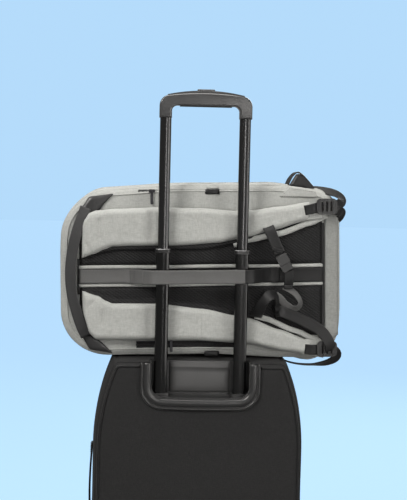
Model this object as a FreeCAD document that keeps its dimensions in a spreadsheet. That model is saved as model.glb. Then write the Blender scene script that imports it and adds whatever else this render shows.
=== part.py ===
import FreeCAD, Part
import math
import os
import Sketcher

# A rolling duffel: a wheeled upright case with a two-stage telescopic handle, and a soft duffel
# that is carried on top of it, held to the handle's tubes by its trolley strap.
#
# Millimetres, +Z up. The origin is on the floor, under the middle of the whole set. -Y is the
# case's back, the side that the handle and the duffel's harness are on; +Y is the side that opens.
# The duffel's pieces are drawn in its own frame, with x along the bag and z up from its base, and
# one placement sets the bag on the case, turned by bag_tilt.

DIMENSIONS = [
    # the case: a shell that narrows towards its top
    ("case_width", 372),
    ("case_top", 545),
    ("case_base", 40),
    ("shoulder_drop", 160),
    ("shoulder_radius", 405),
    ("top_corner", 16),
    ("base_corner", 24),
    ("back_face", -115),
    ("back_panel_thickness", 4),
    ("gusset_wall", 5),
    ("lid_seam", 75),
    ("seam_gap", 0.5),
    ("lid_face", 103),
    ("lid_skin", 4),
    ("lid_edge", 6),
    ("pocket_face", 120),
    ("pocket_edge", 5),
    ("pocket_half_width", 135),
    ("pocket_base", 75),
    ("pocket_top", 425),
    ("pocket_wall", 3),
    ("pocket_corner", 28),
    ("fit_gap", 0.3),
    ("divider_face", -72),
    ("divider_thickness", 2),
    # the recess that the grip parks in, and its moulded housing
    ("recess_width", 174),
    ("recess_floor", 483),
    ("recess_back", -76),
    ("housing_wall", 2.5),
    ("bezel_width", 213),
    ("bezel_base", 461),
    ("bezel_proud", 3.5),
    ("bezel_corner", 38),
    ("bezel_mouth_corner", 22),
    # the telescopic handle
    ("tube_spacing", 141),
    ("tube_plane", -92),
    ("outer_tube_width", 29),
    ("outer_tube_depth", 19),
    ("outer_tube_wall", 1.5),
    ("outer_tube_base", 52),
    ("middle_tube_width", 24),
    ("middle_tube_depth", 15),
    ("middle_tube_wall", 1.3),
    ("middle_tube_base", 423),
    ("middle_tube_top", 738),
    ("collar_width", 28),
    ("collar_depth", 18.5),
    ("collar_height", 6),
    ("guide_bore_width", 24.6),
    ("guide_bore_depth", 15.6),
    ("guide_width", 33),
    ("guide_depth", 24),
    ("guide_height", 5),
    ("inner_tube_width", 20),
    ("inner_tube_depth", 11.5),
    ("inner_tube_wall", 1.2),
    ("inner_tube_base", 693),
    ("inner_tube_top", 986),
    ("tube_corner", 4.5),
    ("slide_gap", 0.3),
    ("lock_height", 702),
    ("lock_block_height", 18),
    ("block_gap", 0.1),
    ("pin_radius", 2.5),
    ("pin_length", 10),
    ("running_gap", 0.05),
    ("rod_radius", 1.8),
    ("rod_x", 64),
    ("rod_base", 716),
    # the grip
    ("grip_half_width", 82),
    ("grip_leg_inner", 60),
    ("grip_leg_base", 977),
    ("grip_inner_top", 999),
    ("grip_inner_corner", 10),
    ("grip_top", 1021.5),
    ("grip_arch_radius", 465),
    ("grip_corner", 18),
    ("grip_cover_half", 68),
    ("grip_cover_radius", 308),
    ("grip_cover_edge", 1.5),
    ("grip_depth", 24),
    ("grip_edge", 3),
    ("grip_cover_depth", 18),
    ("channel_base", 1002),
    ("channel_depth", 13),
    ("bar_base", 1006),
    ("bar_height", 5),
    ("bar_depth", 8),
    ("button_width", 31),
    ("button_depth", 12),
    ("button_corner", 4),
    ("button_top", 1028.3),
    ("button_gap", 0.4),
    ("spring_radius", 2.6),
    ("spring_wire", 0.5),
    ("spring_seat", 1000),
    ("insert_depth", 16),
    ("insert_thickness", 1.6),
    ("insert_half_width", 46),
    # wheels, feet and skid
    ("wheel_x", 150),
    ("wheel_y", -90),
    ("wheel_radius", 35),
    ("wheel_width", 22),
    ("tyre_shoulder", 5),
    ("tyre_crown", 7),
    ("hub_radius", 26),
    ("hub_web", 9),
    ("bearing_radius", 8),
    ("bearing_width", 5),
    ("axle_radius", 3),
    ("cheek", 5),
    ("well_width", 26),
    ("well_radius", 38.5),
    ("wheel_block_front", -45),
    ("wheel_block_back", -119),
    ("wheel_block_base", 22),
    ("wheel_block_top", 100),
    ("wheel_block_corner", 12),
    ("foot_x", 140),
    ("foot_y", 50),
    ("foot_width", 40),
    ("foot_depth", 24),
    ("foot_corner", 7),
    ("foot_edge", 3),
    # carry handles and zips of the case
    ("side_handle_base", 213),
    ("side_handle_top", 383),
    ("side_handle_foot", 18),
    ("side_handle_radius", 1800),
    ("side_handle_thickness", 4),
    ("side_handle_y", -34),
    ("side_handle_width", 28),
    ("top_handle_half_length", 72),
    ("top_handle_y", 20),
    ("top_handle_width", 26),
    ("top_handle_thickness", 2.2),
    ("zip_proud", 1.3),
    ("zip_width", 5),
    ("slider_length", 11),
    ("slider_width", 6),
    ("slider_height", 2.4),
    ("puller_length", 24),
    ("puller_width", 5),
    ("puller_thickness", 1.2),
    ("pocket_zip_drop", 34),
    ("lower_slider_z", 300),
    ("upper_slider_z", 316),
    # the duffel, in its own frame
    ("bag_base", 552),
    ("bag_x", 4),
    ("bag_tilt", 1.6),
    ("bag_half_length", 254),
    ("bag_height", 309),
    ("bag_top_end_corner", 85),
    ("bag_foot_end_corner", 55),
    ("bag_back", -56),
    ("bag_seam", 92),
    ("bag_face", 124),
    ("bag_wall", 5),
    ("bag_back_edge", 14),
    ("bag_face_edge", 20),
    ("pad_proud", 8),
    ("pad_left", -219),
    ("pad_right", 214),
    ("pad_corner", 6),
    ("upper_pad_top", 243),
    ("lower_pad_base", 34),
    ("channel_z", 144.5),
    ("channel_half", 17),
    ("strap_face", -79),
    ("strap_thickness", 14.5),
    ("strap_edge", 5),
    ("strap_left", -202),
    ("strap_neck", 66),
    ("strap_tip", 213),
    ("strap_tip_width", 27),
    ("upper_strap_inner", 198),
    ("upper_strap_outer", 267),
    ("upper_strap_tip", 268),
    ("lower_strap_inner", 96),
    ("lower_strap_outer", 34),
    ("lower_strap_tip", 11),
    ("trolley_strap_width", 26),
    ("trolley_strap_face", -105.5),
    ("trolley_strap_thickness", 2),
    ("trolley_strap_flat", 84),
    ("trolley_strap_rise", 126),
    ("end_handle_face", -72),
    ("end_handle_thickness", 5),
    ("end_handle_width", 20),
    ("end_handle_x", -223),
    ("end_handle_top", 289),
    ("end_handle_base", 14),
    ("end_handle_radius", 340),
    ("end_handle_foot", 18),
    ("ladder_lock_width", 36),
    ("ladder_lock_height", 28),
    ("ladder_lock_corner", 7),
    ("ladder_lock_thickness", 6),
    ("ladder_lock_slot", 3.6),
    ("ladder_lock_pitch", 8),
    ("ladder_lock_x", 225),
    ("buckle_x", 148),
    ("buckle_z", 168),
    ("buckle_length", 32),
    ("buckle_width", 20),
    ("buckle_thickness", 7),
    ("buckle_corner", 2),
    ("buckle_turn", 26),
    ("buckle_back", -82.2),
    ("bag_zip_inset", 9),
    ("upper_slider_x", -88),
    ("lower_slider_x", -55),
]

doc = FreeCAD.newDocument("rolling_duffel")
sheet = doc.addObject("Spreadsheet::Sheet", "d")
for row, (alias, number) in enumerate(DIMENSIONS, start=1):
    sheet.set(f"A{row}", alias)
    sheet.set(f"B{row}", str(number))
    sheet.setAlias(f"B{row}", alias)
doc.recompute()

# Each sketch plane's role, the way its pad has to point to grow along the axis, and the same for
# a pocket: an XZ sketch faces -Y.
PLANES = {
    "XY": {"reverse_pad": False, "reverse_pocket": True, "offset_sign": ""},
    "XZ": {"reverse_pad": True, "reverse_pocket": False, "offset_sign": "-"},
    "YZ": {"reverse_pad": False, "reverse_pocket": True, "offset_sign": ""},
}
ALONG_X = FreeCAD.Vector(1, 0, 0)
ALONG_Y = FreeCAD.Vector(0, 1, 0)
ALONG_Z = FreeCAD.Vector(0, 0, 1)
sub_parts = []


def size(expression):
    """The value, in millimetres, of an expression of the sheet's cells."""
    return float(sheet.evalExpression(str(expression)))


def neg(expression):
    return f"-({expression})"


# ---- sketches and features -----------------------------------------------------------------


def new_body(label):
    body = doc.addObject("PartDesign::Body", label)
    body.Label = label
    sub_parts.append(body)
    return body


def add_group(label, pieces):
    """Small identical solids as one sub-part."""
    group = doc.addObject("Part::Compound", label)
    group.Label = label
    group.Links = pieces
    sub_parts.append(group)
    return group


def origin_plane(body, plane):
    return next(f for f in body.Origin.OriginFeatures if f.Role == f"{plane}_Plane")


def arc_between(p, q, radius):
    """The arc from p to q whose bulge is on the right for a positive radius, and how it runs."""
    chord = q - p
    half = chord.Length / 2
    reach = math.sqrt(max(radius * radius - half * half, 0))
    right = FreeCAD.Vector(chord.y, -chord.x, 0).normalize()
    centre = (p + q) / 2 - right * reach * math.copysign(1, radius)
    circle = Part.Circle(centre, ALONG_Z, abs(radius))
    first, last = (p, q) if radius > 0 else (q, p)
    return Part.ArcOfCircle(circle, circle.parameter(first), circle.parameter(last))


def bind(sketch, kind, places, expression, name):
    index = sketch.addConstraint(Sketcher.Constraint(kind, *places, size(expression)))
    sketch.renameConstraint(index, name)
    sketch.setExpression(f"Constraints.{name}", str(expression))


def draw_outline(sketch, outline, prefix):
    """A closed outline, anticlockwise. Each corner is (u, v), or (u, v, radius) where an arc
    leaves it; every corner and radius is bound to its expression."""
    points = [FreeCAD.Vector(size(c[0]), size(c[1]), 0) for c in outline]
    pieces = []
    for n, corner in enumerate(outline):
        p = points[n]
        q = points[(n + 1) % len(points)]
        if len(corner) == 3:
            radius = size(corner[2])
            index = sketch.addGeometry(arc_between(p, q, radius), False)
            pieces.append((index, 1, 2) if radius > 0 else (index, 2, 1))
        else:
            index = sketch.addGeometry(Part.LineSegment(p, q), False)
            pieces.append((index, 1, 2))
    for n, (index, _, end) in enumerate(pieces):
        after, start, _ = pieces[(n + 1) % len(pieces)]
        sketch.addConstraint(Sketcher.Constraint("Coincident", index, end, after, start))
    for n, (corner, (index, start, _)) in enumerate(zip(outline, pieces)):
        bind(sketch, "DistanceX", (-1, 1, index, start), corner[0], f"{prefix}{n}u")
        bind(sketch, "DistanceY", (-1, 1, index, start), corner[1], f"{prefix}{n}v")
        if len(corner) == 3:
            bind(sketch, "Radius", (index,), f"abs({corner[2]})", f"{prefix}{n}r")


def draw_circle(sketch, circle, prefix):
    u, v, radius = circle
    centre = FreeCAD.Vector(size(u), size(v), 0)
    index = sketch.addGeometry(Part.Circle(centre, ALONG_Z, size(radius)), False)
    bind(sketch, "DistanceX", (-1, 1, index, 3), u, f"{prefix}u")
    bind(sketch, "DistanceY", (-1, 1, index, 3), v, f"{prefix}v")
    bind(sketch, "Radius", (index,), radius, f"{prefix}r")


def new_sketch(body, plane, offset, loops):
    """A sketch on one of the body's own planes. A loop is an outline, or a circle's (u, v, r)."""
    sketch = body.newObject("Sketcher::SketchObject", f"{body.Name}_sketch")
    sketch.AttachmentSupport = [(origin_plane(body, plane), "")]
    sketch.MapMode = "FlatFace"
    sign = PLANES[plane]["offset_sign"]
    sketch.setExpression("AttachmentOffset.Base.z", f"{sign}({offset})")
    for n, loop in enumerate(loops):
        draw = draw_circle if isinstance(loop, tuple) else draw_outline
        draw(sketch, loop, f"p{n}_")
    return sketch


def add_prism(body, plane, start, end, *loops):
    """Pads the loops from start to end along the axis that the plane faces."""
    sketch = new_sketch(body, plane, start, loops)
    pad = body.newObject("PartDesign::Pad", f"{body.Name}_pad")
    pad.Profile = sketch
    pad.Reversed = PLANES[plane]["reverse_pad"]
    pad.setExpression("Length", f"({end})-({start})")
    return pad


def cut_prism(body, plane, start, end, *loops):
    """Pockets the loops from start to end, and stops if that takes nothing away."""
    doc.recompute()
    before = body.Shape.Volume
    sketch = new_sketch(body, plane, start, loops)
    pocket = body.newObject("PartDesign::Pocket", f"{body.Name}_pocket")
    pocket.Profile = sketch
    pocket.Reversed = PLANES[plane]["reverse_pocket"]
    pocket.setExpression("Length", f"({end})-({start})")
    doc.recompute()
    if body.Shape.Volume > before - 0.5:
        raise RuntimeError(f"a pocket of {body.Label} cuts nothing")
    return pocket


def dress(body, kind, amount, wanted):
    """Fillets or chamfers the edges that wanted(edge) picks."""
    doc.recompute()
    base = body.Tip
    names = [f"Edge{n}" for n, edge in enumerate(base.Shape.Edges, start=1) if wanted(edge)]
    feature = body.newObject(f"PartDesign::{kind}", f"{body.Name}_{kind.lower()}")
    feature.Base = (base, names)
    feature.setExpression("Radius" if kind == "Fillet" else "Size", amount)
    doc.recompute()


def turn_profile(body, outline):
    """Revolves an outline, drawn in the body's XZ plane, about its X axis."""
    sketch = new_sketch(body, "XZ", 0, [outline])
    revolution = body.newObject("PartDesign::Revolution", f"{body.Name}_turned")
    revolution.Profile = sketch
    revolution.ReferenceAxis = (sketch, ["H_Axis"])
    revolution.Angle = 360


def place(thing, x=0, y=0, z=0):
    for axis, expression in zip("xyz", (x, y, z)):
        thing.setExpression(f"Placement.Base.{axis}", str(expression))


def set_on_case(thing):
    """Puts a piece drawn in the duffel's frame where the duffel is, its foot end a little up."""
    thing.Placement = FreeCAD.Placement(FreeCAD.Vector(), FreeCAD.Rotation(-ALONG_Y, 1))
    thing.setExpression("Placement.Rotation.Angle", "d.bag_tilt")
    place(thing, "d.bag_x", 0, "d.bag_base")


def parallel_to(axis):
    """Picks straight edges along the axis."""

    def wanted(edge):
        straight = isinstance(edge.Curve, Part.Line)
        return straight and abs(edge.Curve.Direction.dot(axis)) > 0.999

    return wanted


def lying_at(coordinate, value):
    """Picks edges that lie wholly in the plane coordinate = value."""

    def wanted(edge):
        box = edge.BoundBox
        low, high = getattr(box, f"{coordinate}Min"), getattr(box, f"{coordinate}Max")
        return abs(low - value) < 0.01 and abs(high - value) < 0.01

    return wanted


# ---- outlines ------------------------------------------------------------------------------


def rectangle(u0, v0, u1, v1):
    return [(u0, v0), (u1, v0), (u1, v1), (u0, v1)]


def rounded(u0, v0, u1, v1, r):
    """A rectangle with round corners, anticlockwise from its lower left."""
    return [
        (f"({u0})+({r})", v0),
        (f"({u1})-({r})", v0, r),
        (u1, f"({v0})+({r})"),
        (u1, f"({v1})-({r})", r),
        (f"({u1})-({r})", v1),
        (f"({u0})+({r})", v1, r),
        (u0, f"({v1})-({r})"),
        (u0, f"({v0})+({r})", r),
    ]


def centred(width, depth, r, x=0, y=0):
    """A round-cornered rectangle of that width and depth about (x, y)."""
    return rounded(
        f"({x})-({width})/2", f"({y})-({depth})/2", f"({x})+({width})/2", f"({y})+({depth})/2", r
    )


# The shoulder's arc and the top corner's arc meet where the line through their two centres
# crosses them, so that the outline runs on smoothly, whatever it is drawn in by.
SHOULDER_X = "(d.case_width/2-d.shoulder_radius)"
SHOULDER_Z = "(d.case_top-d.shoulder_drop)"
SPAN = "(d.shoulder_radius-d.top_corner)"
RISE = "(d.shoulder_drop-d.top_corner)"
RUN = f"sqrt({SPAN}^2-{RISE}^2)"
CORNER_X = f"({SHOULDER_X}+{RUN})"


def shoulder_end(inset):
    """Where the shoulder's arc turns into the top corner's, on the right."""
    share = f"(d.shoulder_radius-({inset}))/{SPAN}"
    return f"({SHOULDER_X}+{RUN}*{share})", f"({SHOULDER_Z}+{RISE}*{share})"


def case_outline(inset):
    """The case seen from behind, drawn in by inset all round."""
    half = f"(d.case_width/2-({inset}))"
    base = f"(d.case_base+({inset}))"
    top = f"d.case_top-({inset})"
    low, high = f"(d.base_corner-({inset}))", f"(d.top_corner-({inset}))"
    shoulder = f"(d.shoulder_radius-({inset}))"
    end_x, end_z = shoulder_end(inset)
    return [
        (f"-{half}+{low}", base),
        (f"{half}-{low}", base, low),
        (half, f"{base}+{low}"),
        (half, SHOULDER_Z, shoulder),
        (end_x, end_z, high),
        (CORNER_X, top),
        (neg(CORNER_X), top, high),
        (neg(end_x), end_z, shoulder),
        (neg(half), SHOULDER_Z),
        (neg(half), f"{base}+{low}", low),
    ]


def bag_outline(inset):
    """The duffel seen from behind, drawn in by inset: its top end, on the left, is rounder."""
    half = f"(d.bag_half_length-({inset}))"
    left, right = f"(d.bag_top_end_corner-({inset}))", f"(d.bag_foot_end_corner-({inset}))"
    top = f"d.bag_height-({inset})"
    return [
        (f"-{half}+{left}", inset),
        (f"{half}-{right}", inset, right),
        (half, f"({inset})+{right}"),
        (half, f"{top}-{right}", right),
        (f"{half}-{right}", top),
        (f"-{half}+{left}", top, left),
        (f"-{half}", f"{top}-{left}"),
        (f"-{half}", f"({inset})+{left}", left),
    ]


# ---- the case ------------------------------------------------------------------------------

BACK_INNER = "d.back_face+d.back_panel_thickness"
WHEEL_CUT = "d.wheel_block_top+d.fit_gap"


def wheel_notch(body, plane, start, end):
    """Clears both wheel blocks out of a wall of the case."""
    reach = "(d.well_width/2+d.cheek+d.fit_gap)"
    for sign in (-1, 1):
        u0, u1 = f"({sign})*d.wheel_x-{reach}", f"({sign})*d.wheel_x+{reach}"
        if plane == "XZ":
            loop = rectangle(u0, "0", u1, WHEEL_CUT)
        else:
            loop = rectangle(u0, "d.back_face-1", u1, "d.wheel_block_front+d.fit_gap")
        cut_prism(body, plane, start, end, loop)


def housing_notch(grow):
    """The housing's outline in the back panel, from below the recess to above the case."""
    half = f"(d.recess_width/2+d.housing_wall+({grow}))"
    return rectangle(neg(half), f"d.recess_floor-d.housing_wall-({grow})", half, "d.case_top+1")


def make_back_panel():
    body = new_body("case_back_panel")
    add_prism(body, "XZ", "d.back_face", BACK_INNER, case_outline(0))
    cut_prism(body, "XZ", "d.back_face-1", f"{BACK_INNER}+1", housing_notch("d.fit_gap"))
    wheel_notch(body, "XZ", "d.back_face-1", f"{BACK_INNER}+1")


def make_side_gussets():
    wall = "d.gusset_wall"
    half, inner_half = "d.case_width/2", f"d.case_width/2-{wall}"
    low = "d.case_base+d.base_corner"
    (end_x, end_z), (inner_x, inner_z) = shoulder_end("0"), shoulder_end(wall)
    outer, inner = "d.shoulder_radius", f"-(d.shoulder_radius-{wall})"
    right = [
        (inner_half, low),
        (half, low),
        (half, SHOULDER_Z, outer),
        (end_x, end_z),
        (inner_x, inner_z, inner),
        (inner_half, SHOULDER_Z),
    ]
    left = [
        (neg(half), low),
        (neg(inner_half), low),
        (neg(inner_half), SHOULDER_Z, inner),
        (neg(inner_x), inner_z),
        (neg(end_x), end_z, outer),
        (neg(half), SHOULDER_Z),
    ]
    for side, outline in (("left", left), ("right", right)):
        add_prism(new_body(f"case_side_gusset_{side}"), "XZ", BACK_INNER, "d.lid_seam", outline)


def make_top_gusset():
    wall = "d.gusset_wall"
    (end_x, end_z), (inner_x, inner_z) = shoulder_end("0"), shoulder_end(wall)
    body = new_body("case_top_gusset")
    outline = [
        (inner_x, inner_z),
        (end_x, end_z, "d.top_corner"),
        (CORNER_X, "d.case_top"),
        (neg(CORNER_X), "d.case_top", "d.top_corner"),
        (neg(end_x), end_z),
        (neg(inner_x), inner_z, f"-(d.top_corner-{wall})"),
        (neg(CORNER_X), f"d.case_top-{wall}"),
        (CORNER_X, f"d.case_top-{wall}", f"-(d.top_corner-{wall})"),
    ]
    add_prism(body, "XZ", BACK_INNER, "d.lid_seam", outline)
    clear = "d.recess_back+d.housing_wall+d.fit_gap"
    cut_prism(body, "XZ", "d.back_face", clear, housing_notch("d.fit_gap"))


def make_bottom_gusset():
    wall = "d.gusset_wall"
    half, flat = "d.case_width/2", "(d.case_width/2-d.base_corner)"
    spring = "d.case_base+d.base_corner"
    tight = f"-(d.base_corner-{wall})"
    body = new_body("case_bottom_gusset")
    outline = [
        (neg(half), spring, "d.base_corner"),
        (neg(flat), "d.case_base"),
        (flat, "d.case_base", "d.base_corner"),
        (half, spring),
        (f"{half}-{wall}", spring, tight),
        (flat, f"d.case_base+{wall}"),
        (neg(flat), f"d.case_base+{wall}", tight),
        (f"-({half})+{wall}", spring),
    ]
    add_prism(body, "XZ", BACK_INNER, "d.lid_seam", outline)
    wheel_notch(body, "XY", "0", WHEEL_CUT)


def make_divider():
    """The lined false back, which keeps what is packed away from the handle's tubes."""
    body = new_body("case_divider")
    inset = "d.gusset_wall+d.fit_gap"
    add_prism(body, "XZ", "d.divider_face", "d.divider_face+d.divider_thickness", case_outline(inset))
    wheel_notch(body, "XZ", "d.divider_face-1", "d.divider_face+d.divider_thickness+1")


def make_lid():
    body = new_body("case_lid")
    seam = "d.lid_seam+d.seam_gap"
    add_prism(body, "XZ", seam, "d.lid_face", case_outline(0))
    cut_prism(body, "XZ", f"{seam}-1", "d.lid_face-d.lid_skin", case_outline("d.gusset_wall"))
    dress(body, "Fillet", "d.lid_edge", lying_at("Y", size("d.lid_face")))


def make_lid_pocket():
    body = new_body("lid_pocket")
    half, start, wall = "d.pocket_half_width", "d.lid_face+d.fit_gap", "d.pocket_wall"
    outer = rounded(neg(half), "d.pocket_base", half, "d.pocket_top", "d.pocket_corner")
    inner = rounded(
        f"{wall}-{half}",
        f"d.pocket_base+{wall}",
        f"{half}-{wall}",
        f"d.pocket_top-{wall}",
        f"d.pocket_corner-{wall}",
    )
    add_prism(body, "XZ", start, "d.pocket_face", outer)
    cut_prism(body, "XZ", f"{start}-1", f"d.pocket_face-{wall}", inner)
    dress(body, "Fillet", "d.pocket_edge", lying_at("Y", size("d.pocket_face")))


def mouth(half, floor, corner, top):
    """A U-shaped mouth, open upwards, with round lower corners."""
    return [
        (f"{corner}-({half})", floor),
        (f"({half})-{corner}", floor, corner),
        (half, f"{floor}+{corner}"),
        (half, top),
        (neg(half), top),
        (neg(half), f"{floor}+{corner}", corner),
    ]


def make_handle_housing():
    """The moulded recess in the case's back: a bezel, a box behind it and the tubes' guides."""
    body = new_body("handle_housing")
    half = "d.recess_width/2"
    front = "d.back_face-d.bezel_proud"
    above, top = "d.case_top+1", "d.case_top-1"
    floor_under = "d.recess_floor-d.housing_wall"
    add_prism(
        body, "XZ", front, "d.back_face", mouth("d.bezel_width/2", "d.bezel_base", "d.bezel_corner", top)
    )
    box_half = f"{half}+d.housing_wall"
    box = rectangle(neg(box_half), floor_under, box_half, top)
    add_prism(body, "XZ", "d.back_face", "d.recess_back+d.housing_wall", box)
    opening = mouth(half, "d.recess_floor", "d.bezel_mouth_corner", above)
    cut_prism(body, "XZ", f"{front}-1", "d.back_face", opening)
    recess = rectangle(neg(half), "d.recess_floor", half, above)
    cut_prism(body, "XZ", "d.back_face", "d.recess_back", recess)
    for sign in (-1, 1):
        x = f"{sign}*d.tube_spacing/2"
        hole = tube_section("d.guide_bore_width", "d.guide_bore_depth", "d.tube_corner", x)
        boss = tube_section("d.guide_width", "d.guide_depth", "d.tube_corner+2", x)
        cut_prism(body, "XY", f"{floor_under}-1", "d.recess_floor+1", hole)
        add_prism(body, "XY", "d.recess_floor", "d.recess_floor+d.guide_height", boss, hole)


def tube_section(width, depth, corner, x):
    return centred(width, depth, corner, x, "d.tube_plane")


def make_tube(label, width, depth, wall, base, top, x):
    body = new_body(label)
    outer = tube_section(width, depth, "d.tube_corner", x)
    inner = tube_section(f"{width}-2*{wall}", f"{depth}-2*{wall}", f"d.tube_corner-{wall}", x)
    add_prism(body, "XY", base, top, outer, inner)
    return body


def pin_hole(body, start, end, radius):
    cut_prism(body, "YZ", start, end, ("d.tube_plane", "d.lock_height", radius))


def make_tubes():
    for side, sign in (("left", -1), ("right", 1)):
        x = f"({sign}*d.tube_spacing/2)"
        make_tube(
            f"outer_tube_{side}",
            "d.outer_tube_width",
            "d.outer_tube_depth",
            "d.outer_tube_wall",
            "d.outer_tube_base",
            "d.recess_floor-d.housing_wall",
            x,
        )
        middle = make_tube(
            f"middle_tube_{side}",
            "d.middle_tube_width",
            "d.middle_tube_depth",
            "d.middle_tube_wall",
            "d.middle_tube_base",
            "d.middle_tube_top",
            x,
        )
        collar = new_body(f"middle_tube_collar_{side}")
        bore_width, bore_depth = "d.inner_tube_width+2*d.slide_gap", "d.inner_tube_depth+2*d.slide_gap"
        add_prism(
            collar,
            "XY",
            "d.middle_tube_top",
            "d.middle_tube_top+d.collar_height",
            tube_section("d.collar_width", "d.collar_depth", "d.tube_corner+1", x),
            tube_section(bore_width, bore_depth, "d.tube_corner", x),
        )
        inner = make_tube(
            f"inner_tube_{side}",
            "d.inner_tube_width",
            "d.inner_tube_depth",
            "d.inner_tube_wall",
            "d.inner_tube_base",
            "d.inner_tube_top",
            x,
        )
        make_lock(side, sign, x)
        far = f"{x}+({sign})*d.middle_tube_width"
        near_end, far_end = (x, far) if sign > 0 else (far, x)
        pin_hole(middle, near_end, far_end, "d.pin_radius+d.slide_gap")
        pin_hole(inner, near_end, far_end, "d.pin_radius+d.running_gap")


def make_lock(side, sign, x):
    """The block in the inner tube's foot, the pin that slides in it and the rod from the button."""
    block = new_body(f"lock_block_{side}")
    width = "d.inner_tube_width-2*d.inner_tube_wall-2*d.block_gap"
    depth = "d.inner_tube_depth-2*d.inner_tube_wall-2*d.block_gap"
    section = tube_section(width, depth, "d.tube_corner-d.inner_tube_wall", x)
    add_prism(block, "XY", "d.inner_tube_base", "d.inner_tube_base+d.lock_block_height", section)
    pin_hole(block, f"{x}-d.inner_tube_width", f"{x}+d.inner_tube_width", "d.pin_radius+d.running_gap")
    pin = new_body(f"lock_pin_{side}")
    tip = f"{x}+({sign})*d.inner_tube_width/2"
    start, end = (f"{tip}-d.pin_length", tip) if sign > 0 else (tip, f"{tip}+d.pin_length")
    add_prism(pin, "YZ", start, end, ("d.tube_plane", "d.lock_height", "d.pin_radius"))
    rod = new_body(f"release_rod_{side}")
    add_prism(rod, "XY", "d.rod_base", "d.bar_base", (f"{sign}*d.rod_x", "d.tube_plane", "d.rod_radius"))


# The grip's top is one arch, and each of its corners is an arc that runs into it smoothly.
ARCH_Z = "(d.grip_top-d.grip_arch_radius)"
GRIP_SPAN = "(d.grip_arch_radius-d.grip_corner)"
GRIP_CORNER_X = "(d.grip_half_width-d.grip_corner)"
GRIP_CORNER_RISE = f"sqrt({GRIP_SPAN}^2-{GRIP_CORNER_X}^2)"


def grip_outline():
    outer, inner = "d.grip_half_width", "d.grip_leg_inner"
    foot, bar = "d.grip_leg_base", "d.grip_inner_top"
    bend = "d.grip_inner_corner"
    share = f"(d.grip_arch_radius/{GRIP_SPAN})"
    x, z = f"{GRIP_CORNER_X}*{share}", f"{ARCH_Z}+{GRIP_CORNER_RISE}*{share}"
    leg_top = f"{ARCH_Z}+{GRIP_CORNER_RISE}"
    return [
        (neg(outer), foot),
        (neg(inner), foot),
        (neg(inner), f"{bar}-{bend}", f"-{bend}"),
        (f"{bend}-{inner}", bar),
        (f"{inner}-{bend}", bar, f"-{bend}"),
        (inner, f"{bar}-{bend}"),
        (inner, foot),
        (outer, foot),
        (outer, leg_top, "d.grip_corner"),
        (x, z, "d.grip_arch_radius"),
        (neg(x), z, "d.grip_corner"),
        (neg(outer), leg_top),
    ]


def make_grip_body():
    body = new_body("grip_body")
    front, back = "d.tube_plane-d.grip_depth/2", "d.tube_plane+d.grip_depth/2"
    add_prism(body, "XZ", front, back, grip_outline())
    at_front, at_back = lying_at("Y", size(front)), lying_at("Y", size(back))
    dress(body, "Fillet", "d.grip_edge", lambda edge: at_front(edge) or at_back(edge))
    reach = "d.rod_x+d.rod_radius+0.7"
    channel = rectangle(neg(reach), "d.channel_base", reach, "d.button_top")
    half_depth = "d.channel_depth/2"
    cut_prism(body, "XZ", f"d.tube_plane-{half_depth}", f"d.tube_plane+{half_depth}", channel)
    for sign in (-1, 1):
        x = f"{sign}*d.tube_spacing/2"
        socket = tube_section("d.inner_tube_width", "d.inner_tube_depth", "d.tube_corner", x)
        cut_prism(body, "XY", "d.grip_leg_base-1", "d.inner_tube_top", socket)
        rod_way = (f"{sign}*d.rod_x", "d.tube_plane", "d.rod_radius+d.button_gap")
        cut_prism(body, "XY", "d.inner_tube_top-1", "d.channel_base+1", rod_way)
    seat = ("0", "d.tube_plane", "d.spring_radius+d.spring_wire+d.button_gap")
    cut_prism(body, "XY", "d.spring_seat", "d.channel_base+1", seat)


def make_grip_cover():
    """The arched top of the grip, with the button's slot through it."""
    body = new_body("grip_cover")
    x, half = "d.grip_cover_half", "d.grip_cover_depth/2"
    arch = "(d.grip_arch_radius+0.1)"
    base = f"({ARCH_Z}+sqrt({arch}^2-{x}^2))"
    edge = f"{base}+d.grip_cover_edge"
    outline = [(x, base), (x, edge, "d.grip_cover_radius"), (neg(x), edge), (neg(x), base, f"-{arch}")]
    add_prism(body, "XZ", f"d.tube_plane-{half}", f"d.tube_plane+{half}", outline)
    cut_prism(body, "XY", base, "d.button_top+1", button_outline("d.button_gap"))


def make_grip_insert():
    """The soft pad under the bar, where the fingers close."""
    body = new_body("grip_soft_insert")
    half, top = "d.insert_half_width", "(d.grip_inner_top-0.05)"
    outline = rounded(neg(half), f"{top}-d.insert_thickness", half, top, "d.insert_thickness/3")
    depth = "d.insert_depth/2"
    add_prism(body, "XZ", f"d.tube_plane-{depth}", f"d.tube_plane+{depth}", outline)


def button_outline(grow):
    return tube_section(
        f"(d.button_width+2*{grow})", f"(d.button_depth+2*{grow})", f"(d.button_corner+{grow})", "0"
    )


def make_release_button():
    """The button and the crossbar under it that pushes both rods, as one moulding."""
    body = new_body("release_button")
    bar_top = "d.bar_base+d.bar_height"
    bar = tube_section("2*(d.rod_x+d.rod_radius)", "d.bar_depth", "2", "0")
    add_prism(body, "XY", "d.bar_base", bar_top, bar)
    add_prism(body, "XY", bar_top, "d.button_top", button_outline("0"))
    dress(body, "Fillet", "1", lying_at("Z", size("d.button_top")))


def make_spring():
    """The button's return spring, under the bar: PartDesign has no coil of this pitch."""
    height = size("d.bar_base-d.spring_seat-2*d.spring_wire")
    radius = size("d.spring_radius")
    helix = Part.makeHelix(height / 4, height, radius)
    wire = Part.Wire(Part.Circle(FreeCAD.Vector(radius, 0, 0), ALONG_Y, size("d.spring_wire")).toShape())
    coil = Part.Wire(helix).makePipeShell([wire], True, True)
    spring = doc.addObject("Part::Feature", "button_spring")
    spring.Label = "button_spring"
    spring.Shape = coil
    place(spring, "0", "d.tube_plane", "d.spring_seat+d.spring_wire")
    sub_parts.append(spring)


# ---- wheels, feet and small fittings ---------------------------------------------------------


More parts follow.
